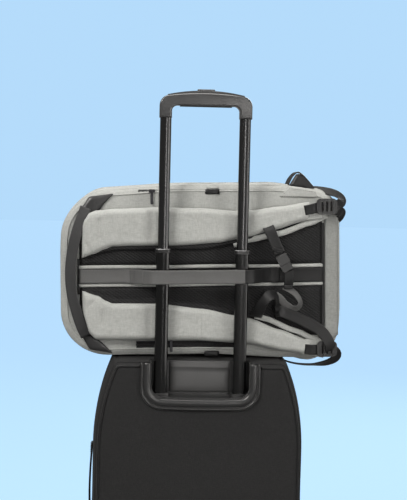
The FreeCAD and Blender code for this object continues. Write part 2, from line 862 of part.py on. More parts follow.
def make_tyre(label):
    body = new_body(label)
    half, tread = "(d.wheel_width/2)", "d.wheel_radius-d.tyre_shoulder"
    outline = [
        (neg(half), "d.hub_radius"),
        (half, "d.hub_radius"),
        (half, tread, "d.tyre_crown"),
        (f"{half}-d.tyre_shoulder", "d.wheel_radius"),
        (f"d.tyre_shoulder-{half}", "d.wheel_radius", "d.tyre_crown"),
        (neg(half), tread),
    ]
    turn_profile(body, outline)
    return body


def make_hub(label):
    """A wheel centre whose web is thinner than its rim and its boss."""
    body = new_body(label)
    half, web = "(d.wheel_width/2)", "(d.hub_web/2)"
    side = [
        (half, "d.bearing_radius"),
        (half, "d.bearing_radius+3"),
        (web, "d.bearing_radius+5"),
        (web, "d.hub_radius-4"),
        (half, "d.hub_radius-2"),
        (half, "d.hub_radius"),
    ]
    turn_profile(body, side + [(neg(u), v) for u, v in reversed(side)])
    return body


def make_bearings(label):
    """The two bearings of a wheel, one at each end of its boss, as one group."""
    rings = []
    for sign in (-1, 1):
        ring = doc.addObject("PartDesign::Body", f"{label}_ring")
        far, near = f"{sign}*d.wheel_width/2", f"{sign}*(d.wheel_width/2-d.bearing_width)"
        start, end = (near, far) if sign > 0 else (far, near)
        add_prism(
            ring, "YZ", start, end, ("0", "0", "d.bearing_radius"), ("0", "0", "d.axle_radius+d.running_gap")
        )
        rings.append(ring)
    return add_group(label, rings)


def make_axle(label):
    body = new_body(label)
    reach = "(d.well_width/2+d.cheek)"
    add_prism(body, "YZ", neg(reach), reach, ("0", "0", "d.axle_radius"))
    return body


def make_wheels():
    makers = {
        "wheel_tyre": make_tyre,
        "wheel_hub": make_hub,
        "wheel_bearings": make_bearings,
        "wheel_axle": make_axle,
    }
    for side, sign in (("left", -1), ("right", 1)):
        x = f"{sign}*d.wheel_x"
        for name, make in makers.items():
            place(make(f"{name}_{side}"), x, "d.wheel_y", "d.wheel_radius")
        make_wheel_block(side, x)


def make_wheel_block(side, x):
    """The moulded corner that carries a wheel between two cheeks."""
    block = new_body(f"wheel_housing_{side}")
    reach = "(d.well_width/2+d.cheek)"
    back, front = "d.wheel_block_back", "d.wheel_block_front"
    base, top = "d.wheel_block_base", "d.wheel_block_top"
    soft = "d.wheel_block_corner"
    profile = [
        (f"{back}+{soft}", base),
        (f"{front}-{soft}", base),
        (front, f"{base}+{soft}"),
        (front, top),
        (f"{back}+{soft}", top, soft),
        (back, f"{top}-{soft}"),
        (back, f"{base}+{soft}"),
    ]
    add_prism(block, "YZ", neg(reach), reach, profile)
    well = ("d.wheel_y", "d.wheel_radius", "d.well_radius")
    cut_prism(block, "YZ", "-d.well_width/2", "d.well_width/2", well)
    bore = ("d.wheel_y", "d.wheel_radius", "d.axle_radius")
    cut_prism(block, "YZ", f"-{reach}-1", f"{reach}+1", bore)
    place(block, x)


def make_feet():
    feet = []
    for sign in (-1, 1):
        foot = doc.addObject("PartDesign::Body", "front_foot")
        section = centred("d.foot_width", "d.foot_depth", "d.foot_corner", f"{sign}*d.foot_x", "d.foot_y")
        add_prism(foot, "XY", "0", "d.case_base", section)
        dress(foot, "Fillet", "d.foot_edge", lying_at("Z", 0))
        feet.append(foot)
    add_group("front_feet", feet)


def make_side_handle():
    """A flat padded handle on the case's left side, sewn down at both ends and a little bowed."""
    body = new_body("case_side_handle")
    face = "(-d.case_width/2-d.fit_gap)"
    outer = f"{face}-d.side_handle_thickness"
    low, high, foot = "d.side_handle_base", "d.side_handle_top", "d.side_handle_foot"
    outline = [
        (outer, low),
        (face, low),
        (face, f"{low}+{foot}", "-d.side_handle_radius"),
        (face, f"{high}-{foot}"),
        (face, high),
        (outer, high, "d.side_handle_radius"),
    ]
    add_prism(body, "XZ", "d.side_handle_y", "d.side_handle_y+d.side_handle_width", outline)


def make_top_handle():
    body = new_body("case_top_handle")
    half, across = "d.top_handle_half_length", "d.top_handle_width/2"
    outline = rounded(neg(half), f"d.top_handle_y-{across}", half, f"d.top_handle_y+{across}", "6")
    add_prism(body, "XY", "d.case_top", "d.case_top+d.top_handle_thickness", outline)


def make_case_zip():
    chain = new_body("case_zip_chain")
    add_prism(
        chain, "XZ", "d.lid_seam-d.zip_width", "d.lid_seam", case_outline("-d.zip_proud"), case_outline("-0.05")
    )
    face = "(-d.case_width/2-d.zip_proud-0.1)"
    outer = f"{face}-d.slider_height"
    pull = f"{outer}-d.puller_thickness"
    seam = "d.lid_seam-0.2"
    for name, z, hang in (("lower", "d.lower_slider_z", 1), ("upper", "d.upper_slider_z", 0)):
        slider = new_body(f"case_zip_slider_{name}")
        half = "d.slider_length/2"
        body_section = rectangle(outer, f"{seam}-d.slider_width", face, seam)
        add_prism(slider, "XY", f"{z}-{half}", f"{z}+{half}", body_section)
        base = f"{z}-{hang}*d.puller_length"
        pull_section = rectangle(pull, f"{seam}-d.puller_width", outer, seam)
        add_prism(slider, "XY", base, f"{base}+d.puller_length", pull_section)
    slider = new_body("pocket_zip_slider")
    make_flat_slider(slider, "d.pocket_face+0.1", 1, "0", "d.pocket_top-d.pocket_zip_drop")


def make_flat_slider(slider, face, outward, x, z):
    """A zip slider and its hanging puller, flat against a face; outward is 1 for +Y."""
    body_face = f"{face}+({outward})*d.slider_height"
    pull_face = f"{body_face}+({outward})*d.puller_thickness"
    half, half_width = "d.slider_length/2", "d.slider_width/2"
    pull_half = "d.puller_width/2"
    block = rounded(f"{x}-{half}", f"{z}-{half_width}", f"{x}+{half}", f"{z}+{half_width}", "1.5")
    puller = rounded(f"{x}-{pull_half}", f"{z}-d.puller_length", f"{x}+{pull_half}", z, "1.5")
    for near, far, outline in ((face, body_face, block), (body_face, pull_face, puller)):
        start, end = (near, far) if outward > 0 else (far, near)
        add_prism(slider, "XZ", start, end, outline)


# ---- the duffel ----------------------------------------------------------------------------


def make_duffel_shell():
    body = new_body("duffel_shell")
    add_prism(body, "XZ", "d.bag_back", "d.bag_seam", bag_outline(0))
    dress(body, "Fillet", "d.bag_back_edge", lying_at("Y", size("d.bag_back")))
    cut_prism(body, "XZ", "d.bag_back+d.bag_wall", "d.bag_seam+1", bag_outline("d.bag_wall"))
    set_on_case(body)


def make_duffel_flap():
    body = new_body("duffel_flap")
    start = "d.bag_seam+d.seam_gap"
    add_prism(body, "XZ", start, "d.bag_face", bag_outline(0))
    dress(body, "Fillet", "d.bag_face_edge", lying_at("Y", size("d.bag_face")))
    hollow = bag_outline("d.bag_face_edge/2")
    cut_prism(body, "XZ", f"{start}-1", "d.bag_face-d.bag_wall", hollow)
    set_on_case(body)


def make_slab(label, near, far, outline, edge=None):
    """A flat piece of the harness, from y = near to far."""
    body = new_body(label)
    add_prism(body, "XZ", near, far, outline)
    if edge:
        dress(body, "Fillet", edge, parallel_to(ALONG_Y))
    set_on_case(body)
    return body


def make_back_pads():
    face, near = "d.bag_back-d.pad_proud", "d.bag_back-d.fit_gap"
    bands = {
        "back_pad_upper": ("d.channel_z+d.channel_half", "d.upper_pad_top"),
        "back_pad_lower": ("d.lower_pad_base", "d.channel_z-d.channel_half"),
    }
    for label, (low, high) in bands.items():
        make_slab(label, face, near, rectangle("d.pad_left", low, "d.pad_right", high), "d.pad_corner")


def make_shoulder_straps():
    """Broad padded straps that taper to their webbing's end, each on its own side of the channel."""
    far = "d.strap_face+d.strap_thickness"
    left, neck, tip = "d.strap_left", "d.strap_neck", "d.strap_tip"
    half = "d.strap_tip_width/2"
    upper = [
        (left, "d.upper_strap_inner-15"),
        (f"{left}+44", "d.upper_strap_inner"),
        (neck, "d.upper_strap_inner+8"),
        (tip, f"d.upper_strap_tip-{half}"),
        (tip, f"d.upper_strap_tip+{half}"),
        (neck, "d.upper_strap_outer"),
        (f"{left}+28", "d.upper_strap_outer"),
        (left, "d.upper_strap_outer-16"),
    ]
    lower = [
        (left, "d.lower_strap_outer+16"),
        (f"{left}+28", "d.lower_strap_outer"),
        (neck, "d.lower_strap_outer-2"),
        (tip, f"d.lower_strap_tip-{half}"),
        (tip, f"d.lower_strap_tip+{half}"),
        (f"{neck}+16", "d.lower_strap_inner-28"),
        (f"{neck}-50", "d.lower_strap_inner-4"),
        (left, "d.lower_strap_inner+10"),
    ]
    make_slab("shoulder_strap_upper", "d.strap_face", far, upper, "d.strap_edge")
    make_slab("shoulder_strap_lower", "d.strap_face", far, lower, "d.strap_edge")


def make_trolley_strap():
    """The band that the handle's tubes pass behind; its two ends are sewn to the bag's back."""
    body = new_body("trolley_strap")
    face, thick = "d.trolley_strap_face", "d.trolley_strap_thickness"
    rest = "(d.bag_back-d.fit_gap)"
    flat, rise = "d.trolley_strap_flat", "d.trolley_strap_rise"
    outline = [
        ("d.pad_left", f"{rest}-{thick}"),
        (neg(rise), f"{rest}-{thick}"),
        (neg(flat), f"{face}-{thick}"),
        (flat, f"{face}-{thick}"),
        (rise, f"{rest}-{thick}"),
        ("d.pad_right", f"{rest}-{thick}"),
        ("d.pad_right", rest),
        (f"{rise}-{thick}/2", rest),
        (f"{flat}-{thick}/2", face),
        (f"{thick}/2-{flat}", face),
        (f"{thick}/2-{rise}", rest),
        ("d.pad_left", rest),
    ]
    low = "d.channel_z-d.trolley_strap_width/2"
    add_prism(body, "XY", low, f"{low}+d.trolley_strap_width", outline)
    set_on_case(body)


def make_end_handle():
    """The grab handle along the duffel's rounder end: a bowed band on two feet."""
    near, far = "d.end_handle_face", "d.end_handle_face+d.end_handle_thickness"
    x, width = "d.end_handle_x", "d.end_handle_width"
    low, high = "d.end_handle_base", "d.end_handle_top"
    foot = "d.end_handle_foot"
    band = [
        (f"{x}+{width}", high),
        (x, high, "d.end_handle_radius"),
        (x, low),
        (f"{x}+{width}", low, "-d.end_handle_radius"),
    ]
    body = new_body("end_handle")
    add_prism(body, "XZ", near, far, band)
    for base in (f"{high}-{foot}", low):
        outline = rectangle(f"{x}+{width}/2", base, f"{x}+2*{width}", f"{base}+{foot}")
        add_prism(body, "XZ", f"{far}-1", "d.bag_back-d.fit_gap", outline)
    set_on_case(body)


def make_ladder_locks():
    """The strap adjusters: a frame with two crossbars, level with the end of each strap."""
    x, pitch = "d.ladder_lock_x", "d.ladder_lock_pitch"
    corner = "d.ladder_lock_corner"
    slot_height = "d.ladder_lock_height-10"
    for side in ("upper", "lower"):
        z = f"d.{side}_strap_tip"
        frame = centred("d.ladder_lock_width", "d.ladder_lock_height", corner, x, z)
        slots = [
            centred("d.ladder_lock_slot", slot_height, "1.2", f"{x}+({n})*{pitch}", z) for n in (-1, 0, 1)
        ]
        body = new_body(f"ladder_lock_{side}")
        add_prism(body, "XZ", "d.strap_face-d.ladder_lock_thickness", "d.strap_face", frame, *slots)
        set_on_case(body)


def on_buckle(across, along):
    """A point of the sternum buckle, which lies turned on the bag."""
    c, s = "cos(d.buckle_turn)", "sin(d.buckle_turn)"
    return (
        f"d.buckle_x+({across})*{c}-({along})*{s}",
        f"d.buckle_z+({across})*{s}+({along})*{c}",
    )


def make_sternum_buckle():
    half = "(d.buckle_width/2)"
    end, split = "(d.buckle_length/2)", "(d.buckle_length/8)"
    near = "d.buckle_back-d.buckle_thickness"
    spans = {
        "sternum_buckle_plug": (neg(end), f"-{split}-d.fit_gap"),
        "sternum_buckle_socket": (neg(split), end),
    }
    for label, (low, high) in spans.items():
        outline = [on_buckle(neg(half), low), on_buckle(half, low), on_buckle(half, high), on_buckle(neg(half), high)]
        make_slab(label, near, "d.buckle_back", outline, "d.buckle_corner")


def make_bag_zips():
    chain = new_body("duffel_zip_chain")
    outer, inner = bag_outline("-d.zip_proud"), bag_outline("-0.05")
    add_prism(chain, "XZ", "d.bag_seam-d.zip_width", "d.bag_seam", outer, inner)
    set_on_case(chain)
    lines = {"upper": "d.bag_height-d.bag_zip_inset-d.slider_width/2", "lower": "30"}
    for side, z in lines.items():
        slider = new_body(f"duffel_zip_slider_{side}")
        make_flat_slider(slider, "d.bag_back-d.fit_gap", -1, f"d.{side}_slider_x", z)
        set_on_case(slider)


# ---- building and writing --------------------------------------------------------------------


def check_document():
    doc.recompute()
    failed = [o.Name for o in doc.Objects if "Invalid" in o.State or "Error" in o.State]
    if failed:
        raise RuntimeError(f"these objects failed: {failed}")
    for piece in sub_parts:
        if piece.Shape.isNull() or not piece.Shape.isValid():
            raise RuntimeError(f"{piece.Label} has no valid shape")


def write_parts():
    os.makedirs("parts", exist_ok=True)
    for name in os.listdir("parts"):
        os.remove(os.path.join("parts", name))
    for piece in sub_parts:
        piece.Shape.exportStep(os.path.join("parts", f"{piece.Label}.step"))
    print(len(sub_parts), "sub-parts written")


make_back_panel()
make_side_gussets()
make_top_gusset()
make_bottom_gusset()
make_divider()
make_lid()
make_lid_pocket()
make_handle_housing()
make_tubes()
make_grip_body()
make_grip_cover()
make_grip_insert()
make_release_button()
make_spring()
make_wheels()
make_feet()
make_side_handle()
make_top_handle()
make_case_zip()
make_duffel_shell()
make_duffel_flap()
make_back_pads()
make_shoulder_straps()
make_trolley_strap()
make_end_handle()
make_ladder_locks()
make_sternum_buckle()
make_bag_zips()
check_document()
write_parts()
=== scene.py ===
import math
import bmesh
import bpy
from mathutils import Matrix, Vector, noise


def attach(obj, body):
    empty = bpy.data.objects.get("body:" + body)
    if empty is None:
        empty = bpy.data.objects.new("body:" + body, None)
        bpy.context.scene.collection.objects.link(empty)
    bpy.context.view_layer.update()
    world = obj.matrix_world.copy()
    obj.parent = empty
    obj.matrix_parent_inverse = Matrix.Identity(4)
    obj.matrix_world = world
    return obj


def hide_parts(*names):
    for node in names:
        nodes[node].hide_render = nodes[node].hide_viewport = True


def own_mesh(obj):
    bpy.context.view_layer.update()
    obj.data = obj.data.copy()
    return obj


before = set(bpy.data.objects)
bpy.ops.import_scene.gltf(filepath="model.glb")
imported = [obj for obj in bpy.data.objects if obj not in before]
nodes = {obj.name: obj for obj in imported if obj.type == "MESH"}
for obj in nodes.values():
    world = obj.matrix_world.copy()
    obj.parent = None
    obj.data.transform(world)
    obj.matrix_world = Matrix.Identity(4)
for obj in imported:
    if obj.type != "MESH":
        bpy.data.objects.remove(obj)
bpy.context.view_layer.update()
scene = bpy.context.scene

# Sizes are in millimetres until a mesh is made. The duffel's pieces are worked out in its own
# frame, x along the bag and z up from its base, and BAG sets them on the case.
MM = 0.001
BAG_TILT = math.radians(1.6)
BAG = Matrix.Translation((4, 0, 552)) @ Matrix.Rotation(-BAG_TILT, 4, "Y")
OUT = Vector((0, -1, 0))
FORWARD = Vector((0, 1, 0))
UP = Vector((0, 0, 1))
TUBE_X, TUBE_Y = 70.5, -92  # the handle's tubes


def bag(x, y, z):
    return BAG @ Vector((x, y, z))


# ---- camera ----------------------------------------------------------------------------------

DISTANCE = 2.4
ELEVATION = math.radians(3)
AZIMUTH = math.radians(3)
ROLL = math.radians(1.3)
AIM = Vector((0.0014, -0.092, 0.744))
FRAME_HEIGHT = 0.890

away = Vector((
    -math.sin(AZIMUTH) * math.cos(ELEVATION),
    -math.cos(AZIMUTH) * math.cos(ELEVATION),
    math.sin(ELEVATION),
))
camera = bpy.data.objects.new("camera", bpy.data.cameras.new("camera"))
scene.collection.objects.link(camera)
camera.location = AIM + away * DISTANCE
turn = (-away).to_track_quat("-Z", "Y").to_matrix()
camera.rotation_euler = (turn @ Matrix.Rotation(ROLL, 3, "Z")).to_euler()
camera.data.lens = camera.data.sensor_width * DISTANCE / FRAME_HEIGHT
scene.camera = camera


# ---- materials -------------------------------------------------------------------------------


class Finish:
    """A procedural material, built up node by node."""

    def __init__(self, name, colour, roughness, **sockets):
        self.material = bpy.data.materials.new(name)
        self.material.use_nodes = True
        self.tree = self.material.node_tree
        self.shader = self.tree.nodes["Principled BSDF"]
        self.shader.inputs["Base Color"].default_value = (*colour, 1)
        self.shader.inputs["Roughness"].default_value = roughness
        for socket, value in sockets.items():
            self.shader.inputs[socket.replace("_", " ")].default_value = value
        self.colour = colour
        self.place = self.node("ShaderNodeTexCoord").outputs["Object"]

    def node(self, kind, inputs=(), **settings):
        made = self.tree.nodes.new(kind)
        for key, value in settings.items():
            setattr(made, key, value)
        for key, value in dict(inputs).items():
            if isinstance(value, bpy.types.NodeSocket):
                self.tree.links.new(value, made.inputs[key])
            else:
                made.inputs[key].default_value = value
        return made

    def along(self):
        """Metres along and across a strap, as its mesh was made."""
        return self.node("ShaderNodeAttribute", attribute_name="lie").outputs["Vector"]

    def stretched(self, vector, scale):
        made = self.node("ShaderNodeMapping", {"Vector": vector, "Scale": scale})
        return made.outputs["Vector"]

    def noise(self, vector, scale, detail=3.0):
        made = self.node("ShaderNodeTexNoise", {"Vector": vector, "Scale": scale, "Detail": detail})
        return made.outputs["Fac"]

    def ribs(self, vector, axis, period):
        """Ridges a period apart along an axis."""
        part = self.node("ShaderNodeSeparateXYZ", {"Vector": vector}).outputs[axis]
        turned = self.maths("MULTIPLY", part, 2 * math.pi / period)
        return self.maths("SINE", turned)

    def maths(self, operation, a, b=0.0):
        made = self.node("ShaderNodeMath", {0: a, 1: b}, operation=operation)
        return made.outputs["Value"]

    def span(self, value, low, high, out_low=0.0, out_high=1.0):
        made = self.node("ShaderNodeMapRange", {
            "Value": value, "From Min": low, "From Max": high, "To Min": out_low, "To Max": out_high,
        })
        return made.outputs["Result"]

    def tint(self, steps):
        """Colours between a dark and a light shade of the base, by each (value, dark, light)."""
        shade = None
        for value, dark, light in steps:
            here = self.span(value, 0, 1, dark, light)
            shade = here if shade is None else self.maths("MULTIPLY", shade, here)
        mixed = self.node("ShaderNodeVectorMath", {0: self.colour, "Scale": shade}, operation="SCALE")
        self.tree.links.new(mixed.outputs["Vector"], self.shader.inputs["Base Color"])

    def rough(self, value, low, high):
        self.tree.links.new(self.span(value, 0, 1, low, high), self.shader.inputs["Roughness"])

    def bump(self, layers, strength=1.0):
        """Raises the surface by the sum of (value, metres)."""
        total = None
        for value, height in layers:
            here = self.maths("MULTIPLY", value, height)
            total = here if total is None else self.maths("ADD", total, here)
        made = self.node("ShaderNodeBump", {"Height": total, "Strength": strength, "Distance": 1.0})
        self.tree.links.new(made.outputs["Normal"], self.shader.inputs["Normal"])


def woven(name, colour, thread, contrast, fleck, **sockets):
    """Plain-weave cloth with flecks in both thread directions."""
    f = Finish(name, colour, 0.9, Specular_IOR_Level=0.25, **sockets)
    warp = f.noise(f.stretched(f.place, (0.22, 1, 1)), 1.0 / fleck)
    weft = f.noise(f.stretched(f.place, (1, 1, 0.22)), 1.0 / fleck)
    grain = f.noise(f.place, 2.6 / fleck, 2.0)
    broad = f.noise(f.place, 14.0, 4.0)
    mixed = f.maths("MULTIPLY", f.maths("ADD", f.maths("ADD", warp, weft), grain), 0.333)
    flecks = f.span(mixed, 0.36, 0.64)
    f.tint([(flecks, 1 - contrast, 1 + contrast), (broad, 0.95, 1.05)])
    across = f.ribs(f.place, "X", thread)
    upright = f.ribs(f.place, "Z", thread)
    deep = f.ribs(f.place, "Y", thread)
    weave = f.maths("ADD", f.maths("MULTIPLY", across, upright), f.maths("MULTIPLY", deep, upright))
    f.bump([(weave, 0.00006), (mixed, 0.0006), (broad, 0.002)], 0.7)
    return f.material


def ribbed(name, colour, period, gloss=0.45, sheen=0.1):
    """Webbing: fine ribs across its run and a soft sheen."""
    f = Finish(name, colour, gloss, Specular_IOR_Level=0.35, Sheen_Weight=sheen, Sheen_Roughness=0.4)
    lie = f.along()
    wale = f.ribs(lie, "Y", period)
    pick = f.ribs(lie, "X", period * 0.75)
    grain = f.noise(f.stretched(lie, (1, 3, 1)), 500.0, 2.0)
    broad = f.noise(f.place, 30.0, 3.0)
    f.tint([(grain, 0.72, 1.28), (broad, 0.85, 1.15)])
    f.rough(grain, gloss - 0.1, gloss + 0.15)
    f.bump([(wale, 0.00009), (f.maths("MULTIPLY", wale, pick), 0.00006), (grain, 0.0002)], 0.8)
    return f.material


def knitted(name, colour):
    """Spacer mesh: a herringbone of small open cells."""
    f = Finish(name, colour, 0.75, Specular_IOR_Level=0.3)
    place = f.stretched(f.place, (1, 1, 0.8))
    cells = f.node("ShaderNodeTexVoronoi", {"Vector": place, "Scale": 330.0, "Randomness": 0.25})
    holes = f.span(cells.outputs["Distance"], 0.12, 0.5)
    slant = f.node("ShaderNodeMapping", {"Vector": f.place, "Rotation": (0, math.radians(58), 0)})
    twill = f.ribs(slant.outputs["Vector"], "X", 0.0044)
    # painted shade in the open cells and painted light on the raised knit between them, following the bump;
    # the twill tint likewise lightens its ridges and darkens its grooves
    f.tint([(holes, 0.45, 1.5), (f.span(twill, -1, 1), 0.7, 1.35)])
    f.bump([(holes, 0.0005), (twill, 0.00035)], 0.9)
    return f.material


def moulded(name, colour, roughness, grain=900.0, depth=0.00008, face=None, **sockets):
    """Moulded plastic or rubber. A face crowned between two heights bulges there."""
    f = Finish(name, colour, roughness, **sockets)
    fine = f.noise(f.place, grain, 3.0)
    broad = f.noise(f.place, 35.0, 4.0)
    f.tint([(broad, 0.85, 1.15)])
    f.rough(broad, max(roughness - 0.06, 0.04), roughness + 0.08)
    layers = [(fine, depth * 0.6)]
    if face:
        up = f.node("ShaderNodeSeparateXYZ", {"Vector": f.place}).outputs["Z"]
        off = f.maths("SUBTRACT", f.span(up, *face), 0.5)
        layers.append((f.maths("MULTIPLY", off, off), -0.011))
    f.bump(layers)
    return f.material


def drawn(name, colour, roughness, crown=0.0, **sockets):
    """Drawn metal: faint lines up a tube and smears where hands rub it. A crown rounds its face."""
    f = Finish(name, colour, roughness, Metallic=1.0, **sockets)
    lines = f.noise(f.stretched(f.place, (1, 1, 0.01)), 1500.0, 2.0)
    smears = f.noise(f.stretched(f.place, (1, 1, 0.3)), 40.0, 4.0)
    f.tint([(smears, 0.85, 1.15)])
    f.rough(smears, roughness - 0.06, roughness + 0.1)
    layers = [(lines, 0.00001)]
    if crown:
        across = f.node("ShaderNodeSeparateXYZ", {"Vector": f.place}).outputs["X"]
        off = f.maths("SUBTRACT", f.maths("ABSOLUTE", across), TUBE_X * MM)
        layers.append((f.maths("POWER", off, 2.0), -crown))
    f.bump(layers)
    return f.material


DUFFEL_CLOTH = woven("heather_canvas", (0.437, 0.446, 0.428), 0.0011, 0.16, 0.0020, Sheen_Weight=0.1)
# a darker copy of the heather canvas: painted shade on the foot end panel, which faces away from the light
DUFFEL_END_SHADED = woven("heather_canvas_end_shaded", (0.29, 0.296, 0.284), 0.0011, 0.16, 0.0020)
# a darker copy of the heather canvas: painted shade along the back panel's edge seam
DUFFEL_SHADE = woven("heather_canvas_seam_shade", (0.30, 0.305, 0.28), 0.0011, 0.16, 0.0022)
CASE_CLOTH = woven("charcoal_nylon", (0.023, 0.023, 0.0234), 0.0009, 0.2, 0.0016, Sheen_Weight=0.03)
LINING = woven("lining_cloth", (0.09, 0.09, 0.10), 0.0008, 0.12, 0.003)
WEBBING = ribbed("strap_webbing", (0.116, 0.116, 0.115), 0.0021)
END_WEBBING = ribbed("end_webbing", (0.036, 0.036, 0.037), 0.0021, 0.36, 0.2)
DARK_WEBBING = ribbed("dark_webbing", (0.011, 0.011, 0.0115), 0.0021, 0.36, 0.05)
BINDING = ribbed("dark_binding", (0.009, 0.009, 0.0095), 0.0016, 0.45)
MESH = knitted("spacer_mesh", (0.011, 0.011, 0.0115))
PATCH = moulded("coated_patch", (0.026, 0.026, 0.0265), 0.38, 260.0, 0.0004, Coat_Weight=0.2)
THREAD = moulded("thread_light", (0.36, 0.365, 0.335), 0.8)
THREAD_DARK = moulded("thread_dark", (0.03, 0.03, 0.032), 0.7)
TAPE = ribbed("zip_tape", (0.012, 0.012, 0.013), 0.0014, 0.6)
COIL = moulded("zip_coil", (0.02, 0.02, 0.022), 0.4)
PLASTIC = moulded("acetal", (0.012, 0.012, 0.0125), 0.34)
CASE_PLASTIC = moulded("satin_moulding", (0.024, 0.024, 0.0245), 0.3, 700.0, 0.00005, Coat_Weight=0.35)
# a lighter copy of the housing's satin moulding: painted light on the recess's back panel
RECESS_PLASTIC_LIT = moulded("recess_moulding_lit", (0.07, 0.07, 0.0705), 0.42, 700.0, 0.00005)
GLOSS_PLASTIC = moulded("gloss_grip", (0.055, 0.055, 0.056), 0.22, 500.0, 0.00003, (0.976, 1.023),
                        Coat_Weight=0.6)
GRIP_RUBBER = moulded("soft_pad", (0.02, 0.02, 0.021), 0.7, 1200.0, 0.0001)
BUTTON = moulded("button", (0.11, 0.11, 0.115), 0.4)
TUBE = drawn("enamelled_tube", (0.045, 0.045, 0.046), 0.14, 22.0, Coat_Weight=1.0, Coat_Roughness=0.06)
TUBE_LOW = drawn("anodised_tube", (0.012, 0.012, 0.0122), 0.2, 22.0, Coat_Weight=1.0, Coat_Roughness=0.07)
SILVER = drawn("satin_ring", (0.62, 0.62, 0.63), 0.3)
STEEL = drawn("bright_steel", (0.5, 0.5, 0.51), 0.32)
ZINC = drawn("black_zinc", (0.05, 0.05, 0.054), 0.35)
TYRE = moulded("tyre_rubber", (0.016, 0.016, 0.016), 0.72, 600.0, 0.00012)
HUB = moulded("hub_nylon", (0.07, 0.07, 0.074), 0.45)

# by the start of a node's name; a longer name comes after the shorter one it begins with
CAD_FINISH = {
    "handle_housing": CASE_PLASTIC, "front_feet": CASE_PLASTIC, "case_divider": LINING,
    "outer_tube": TUBE_LOW, "middle_tube": TUBE_LOW, "middle_tube_collar": PLASTIC, "inner_tube": TUBE,
    "lock_block": PLASTIC, "lock_pin": STEEL, "release_rod": STEEL, "button_spring": STEEL,
    "wheel_housing": CASE_PLASTIC, "wheel_axle": STEEL, "wheel_tyre": TYRE, "wheel_hub": HUB,
    "wheel_bearings": STEEL, "release_button": BUTTON,
    "grip_body": GLOSS_PLASTIC, "grip_cover": GLOSS_PLASTIC, "grip_soft_insert": GRIP_RUBBER,
    "case_zip_slider": ZINC, "pocket_zip_slider": ZINC, "duffel_zip_slider": ZINC,
    "ladder_lock": PLASTIC, "sternum_buckle": PLASTIC,
}
for stem, material in CAD_FINISH.items():
    for node_name in [n for n in nodes if n.startswith(stem)]:
        mesh = nodes[node_name].data
        mesh.materials.clear()
        mesh.materials.append(material)


# ---- mesh helpers ----------------------------------------------------------------------------


def add_piece(name, points, faces, materials, body, lie=None, picks=None, replaces=()):
    """A piece in the row frame from points in millimetres. picks gives each face's material."""
    mesh = bpy.data.meshes.new(name)
    mesh.from_pydata([Vector(p) * MM for p in points], [], faces)
    mesh.validate()
    for material in materials:
        mesh.materials.append(material)
    if picks:
        mesh.polygons.foreach_set("material_index", picks)
    if lie:
        attribute = mesh.attributes.new("lie", "FLOAT_VECTOR", "POINT")
        attribute.data.foreach_set("vector", [c * MM for row in lie for c in row])
    build = bmesh.new()
    build.from_mesh(mesh)
    bmesh.ops.recalc_face_normals(build, faces=build.faces)
    build.to_mesh(mesh)
    build.free()
    mesh.shade_smooth()
    made = bpy.data.objects.new(name, mesh)
    scene.collection.objects.link(made)
    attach(made, body)
    if replaces:
        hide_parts(*replaces)
    return made


def rings_to_faces(count, size, closed_run=False):
    """Quads between rings of the same number of points; a cap on each end of an open run."""
    faces = []
    for i in range(count if closed_run else count - 1):
        a, b = i * size, (i + 1) % count * size
        for j in range(size):
            k = (j + 1) % size
            faces.append((a + j, a + k, b + k, b + j))
    if not closed_run:
        faces.append(tuple(reversed(range(size))))
        faces.append(tuple(range((count - 1) * size, count * size)))
    return faces


def smooth_path(points, step=4.0, closed=False):
    """Evenly spaced points on a Catmull-Rom curve through the given ones."""
    n = len(points)
    points = [Vector(p) for p in points]
    spans = n if closed else n - 1
    dense = []
    for i in range(spans):
        p1, p2 = points[i], points[(i + 1) % n]
        p0 = points[i - 1] if (i or closed) else p1 * 2 - p2
        p3 = points[(i + 2) % n] if (closed or i + 2 < n) else p2 * 2 - p1
        for k in range(12):
            t = k / 12
            dense.append(0.5 * (
                2 * p1 + (p2 - p0) * t + (2 * p0 - 5 * p1 + 4 * p2 - p3) * t * t
                + (3 * p1 - p0 - 3 * p2 + p3) * t * t * t
            ))
    dense.append(points[0] if closed else points[-1])
    lengths = [0.0]
    for a, b in zip(dense, dense[1:]):
        lengths.append(lengths[-1] + (b - a).length)
    count = max(int(round(lengths[-1] / step)), 2)
    even = []
    spot = 0
    for k in range(count if closed else count + 1):
        want = lengths[-1] * k / count
        while spot < len(lengths) - 2 and lengths[spot + 1] < want:
            spot += 1
        gap = lengths[spot + 1] - lengths[spot]
        even.append(dense[spot].lerp(dense[spot + 1], (want - lengths[spot]) / gap if gap else 0))
    return even


def tangents(path, closed):
    n = len(path)
    found = []
    for i in range(n):
        before = path[i - 1] if (i or closed) else path[0]
        after = path[(i + 1) % n] if (closed or i < n - 1) else path[-1]
        found.append((after - before).normalized())
    return found


def sweep(name, path, section, material=DUFFEL_CLOTH, body="duffel", outward=OUT,
          closed=False, replaces=()):
    """Carries a section of (across, out) pairs along a path. outward is one direction or a list."""
    points, lie = [], []
    run = 0.0
    for i, (p, t) in enumerate(zip(path, tangents(path, closed))):
        out = outward[i] if isinstance(outward, list) else outward
        out = (out - t * out.dot(t)).normalized()
        side = t.cross(out)
        run += (p - path[i - 1]).length if i else 0
        for across, height in section:
            points.append(p + side * across + out * height)
            lie.append((run, across, height))
    faces = rings_to_faces(len(path), len(section), closed)
    return add_piece(name, points, faces, [material], body, lie, None, replaces)


def strap_section(width, thickness, selvedge=0.25):
    """A webbing's cross-section, a little thicker at its woven edges."""
    half, t = width / 2, thickness
    edge = min(1.6, half / 2)
    return [
        (-half, t * 0.5), (-half + 0.35, t * 0.95), (-half + edge, t + selvedge), (-half + edge * 2, t),
        (half - edge * 2, t), (half - edge, t + selvedge), (half - 0.35, t * 0.95), (half, t * 0.5),
        (half - 0.35, t * 0.05), (half - edge * 2, 0), (-half + edge * 2, 0), (-half + 0.35, t * 0.05),
    ]


def round_section(radius, count=10, height=None):
    """A circle, or an oval of another height."""
    turns = [math.tau * k / count for k in range(count)]
    return [(radius * math.cos(a), (height or radius) * math.sin(a)) for a in turns]


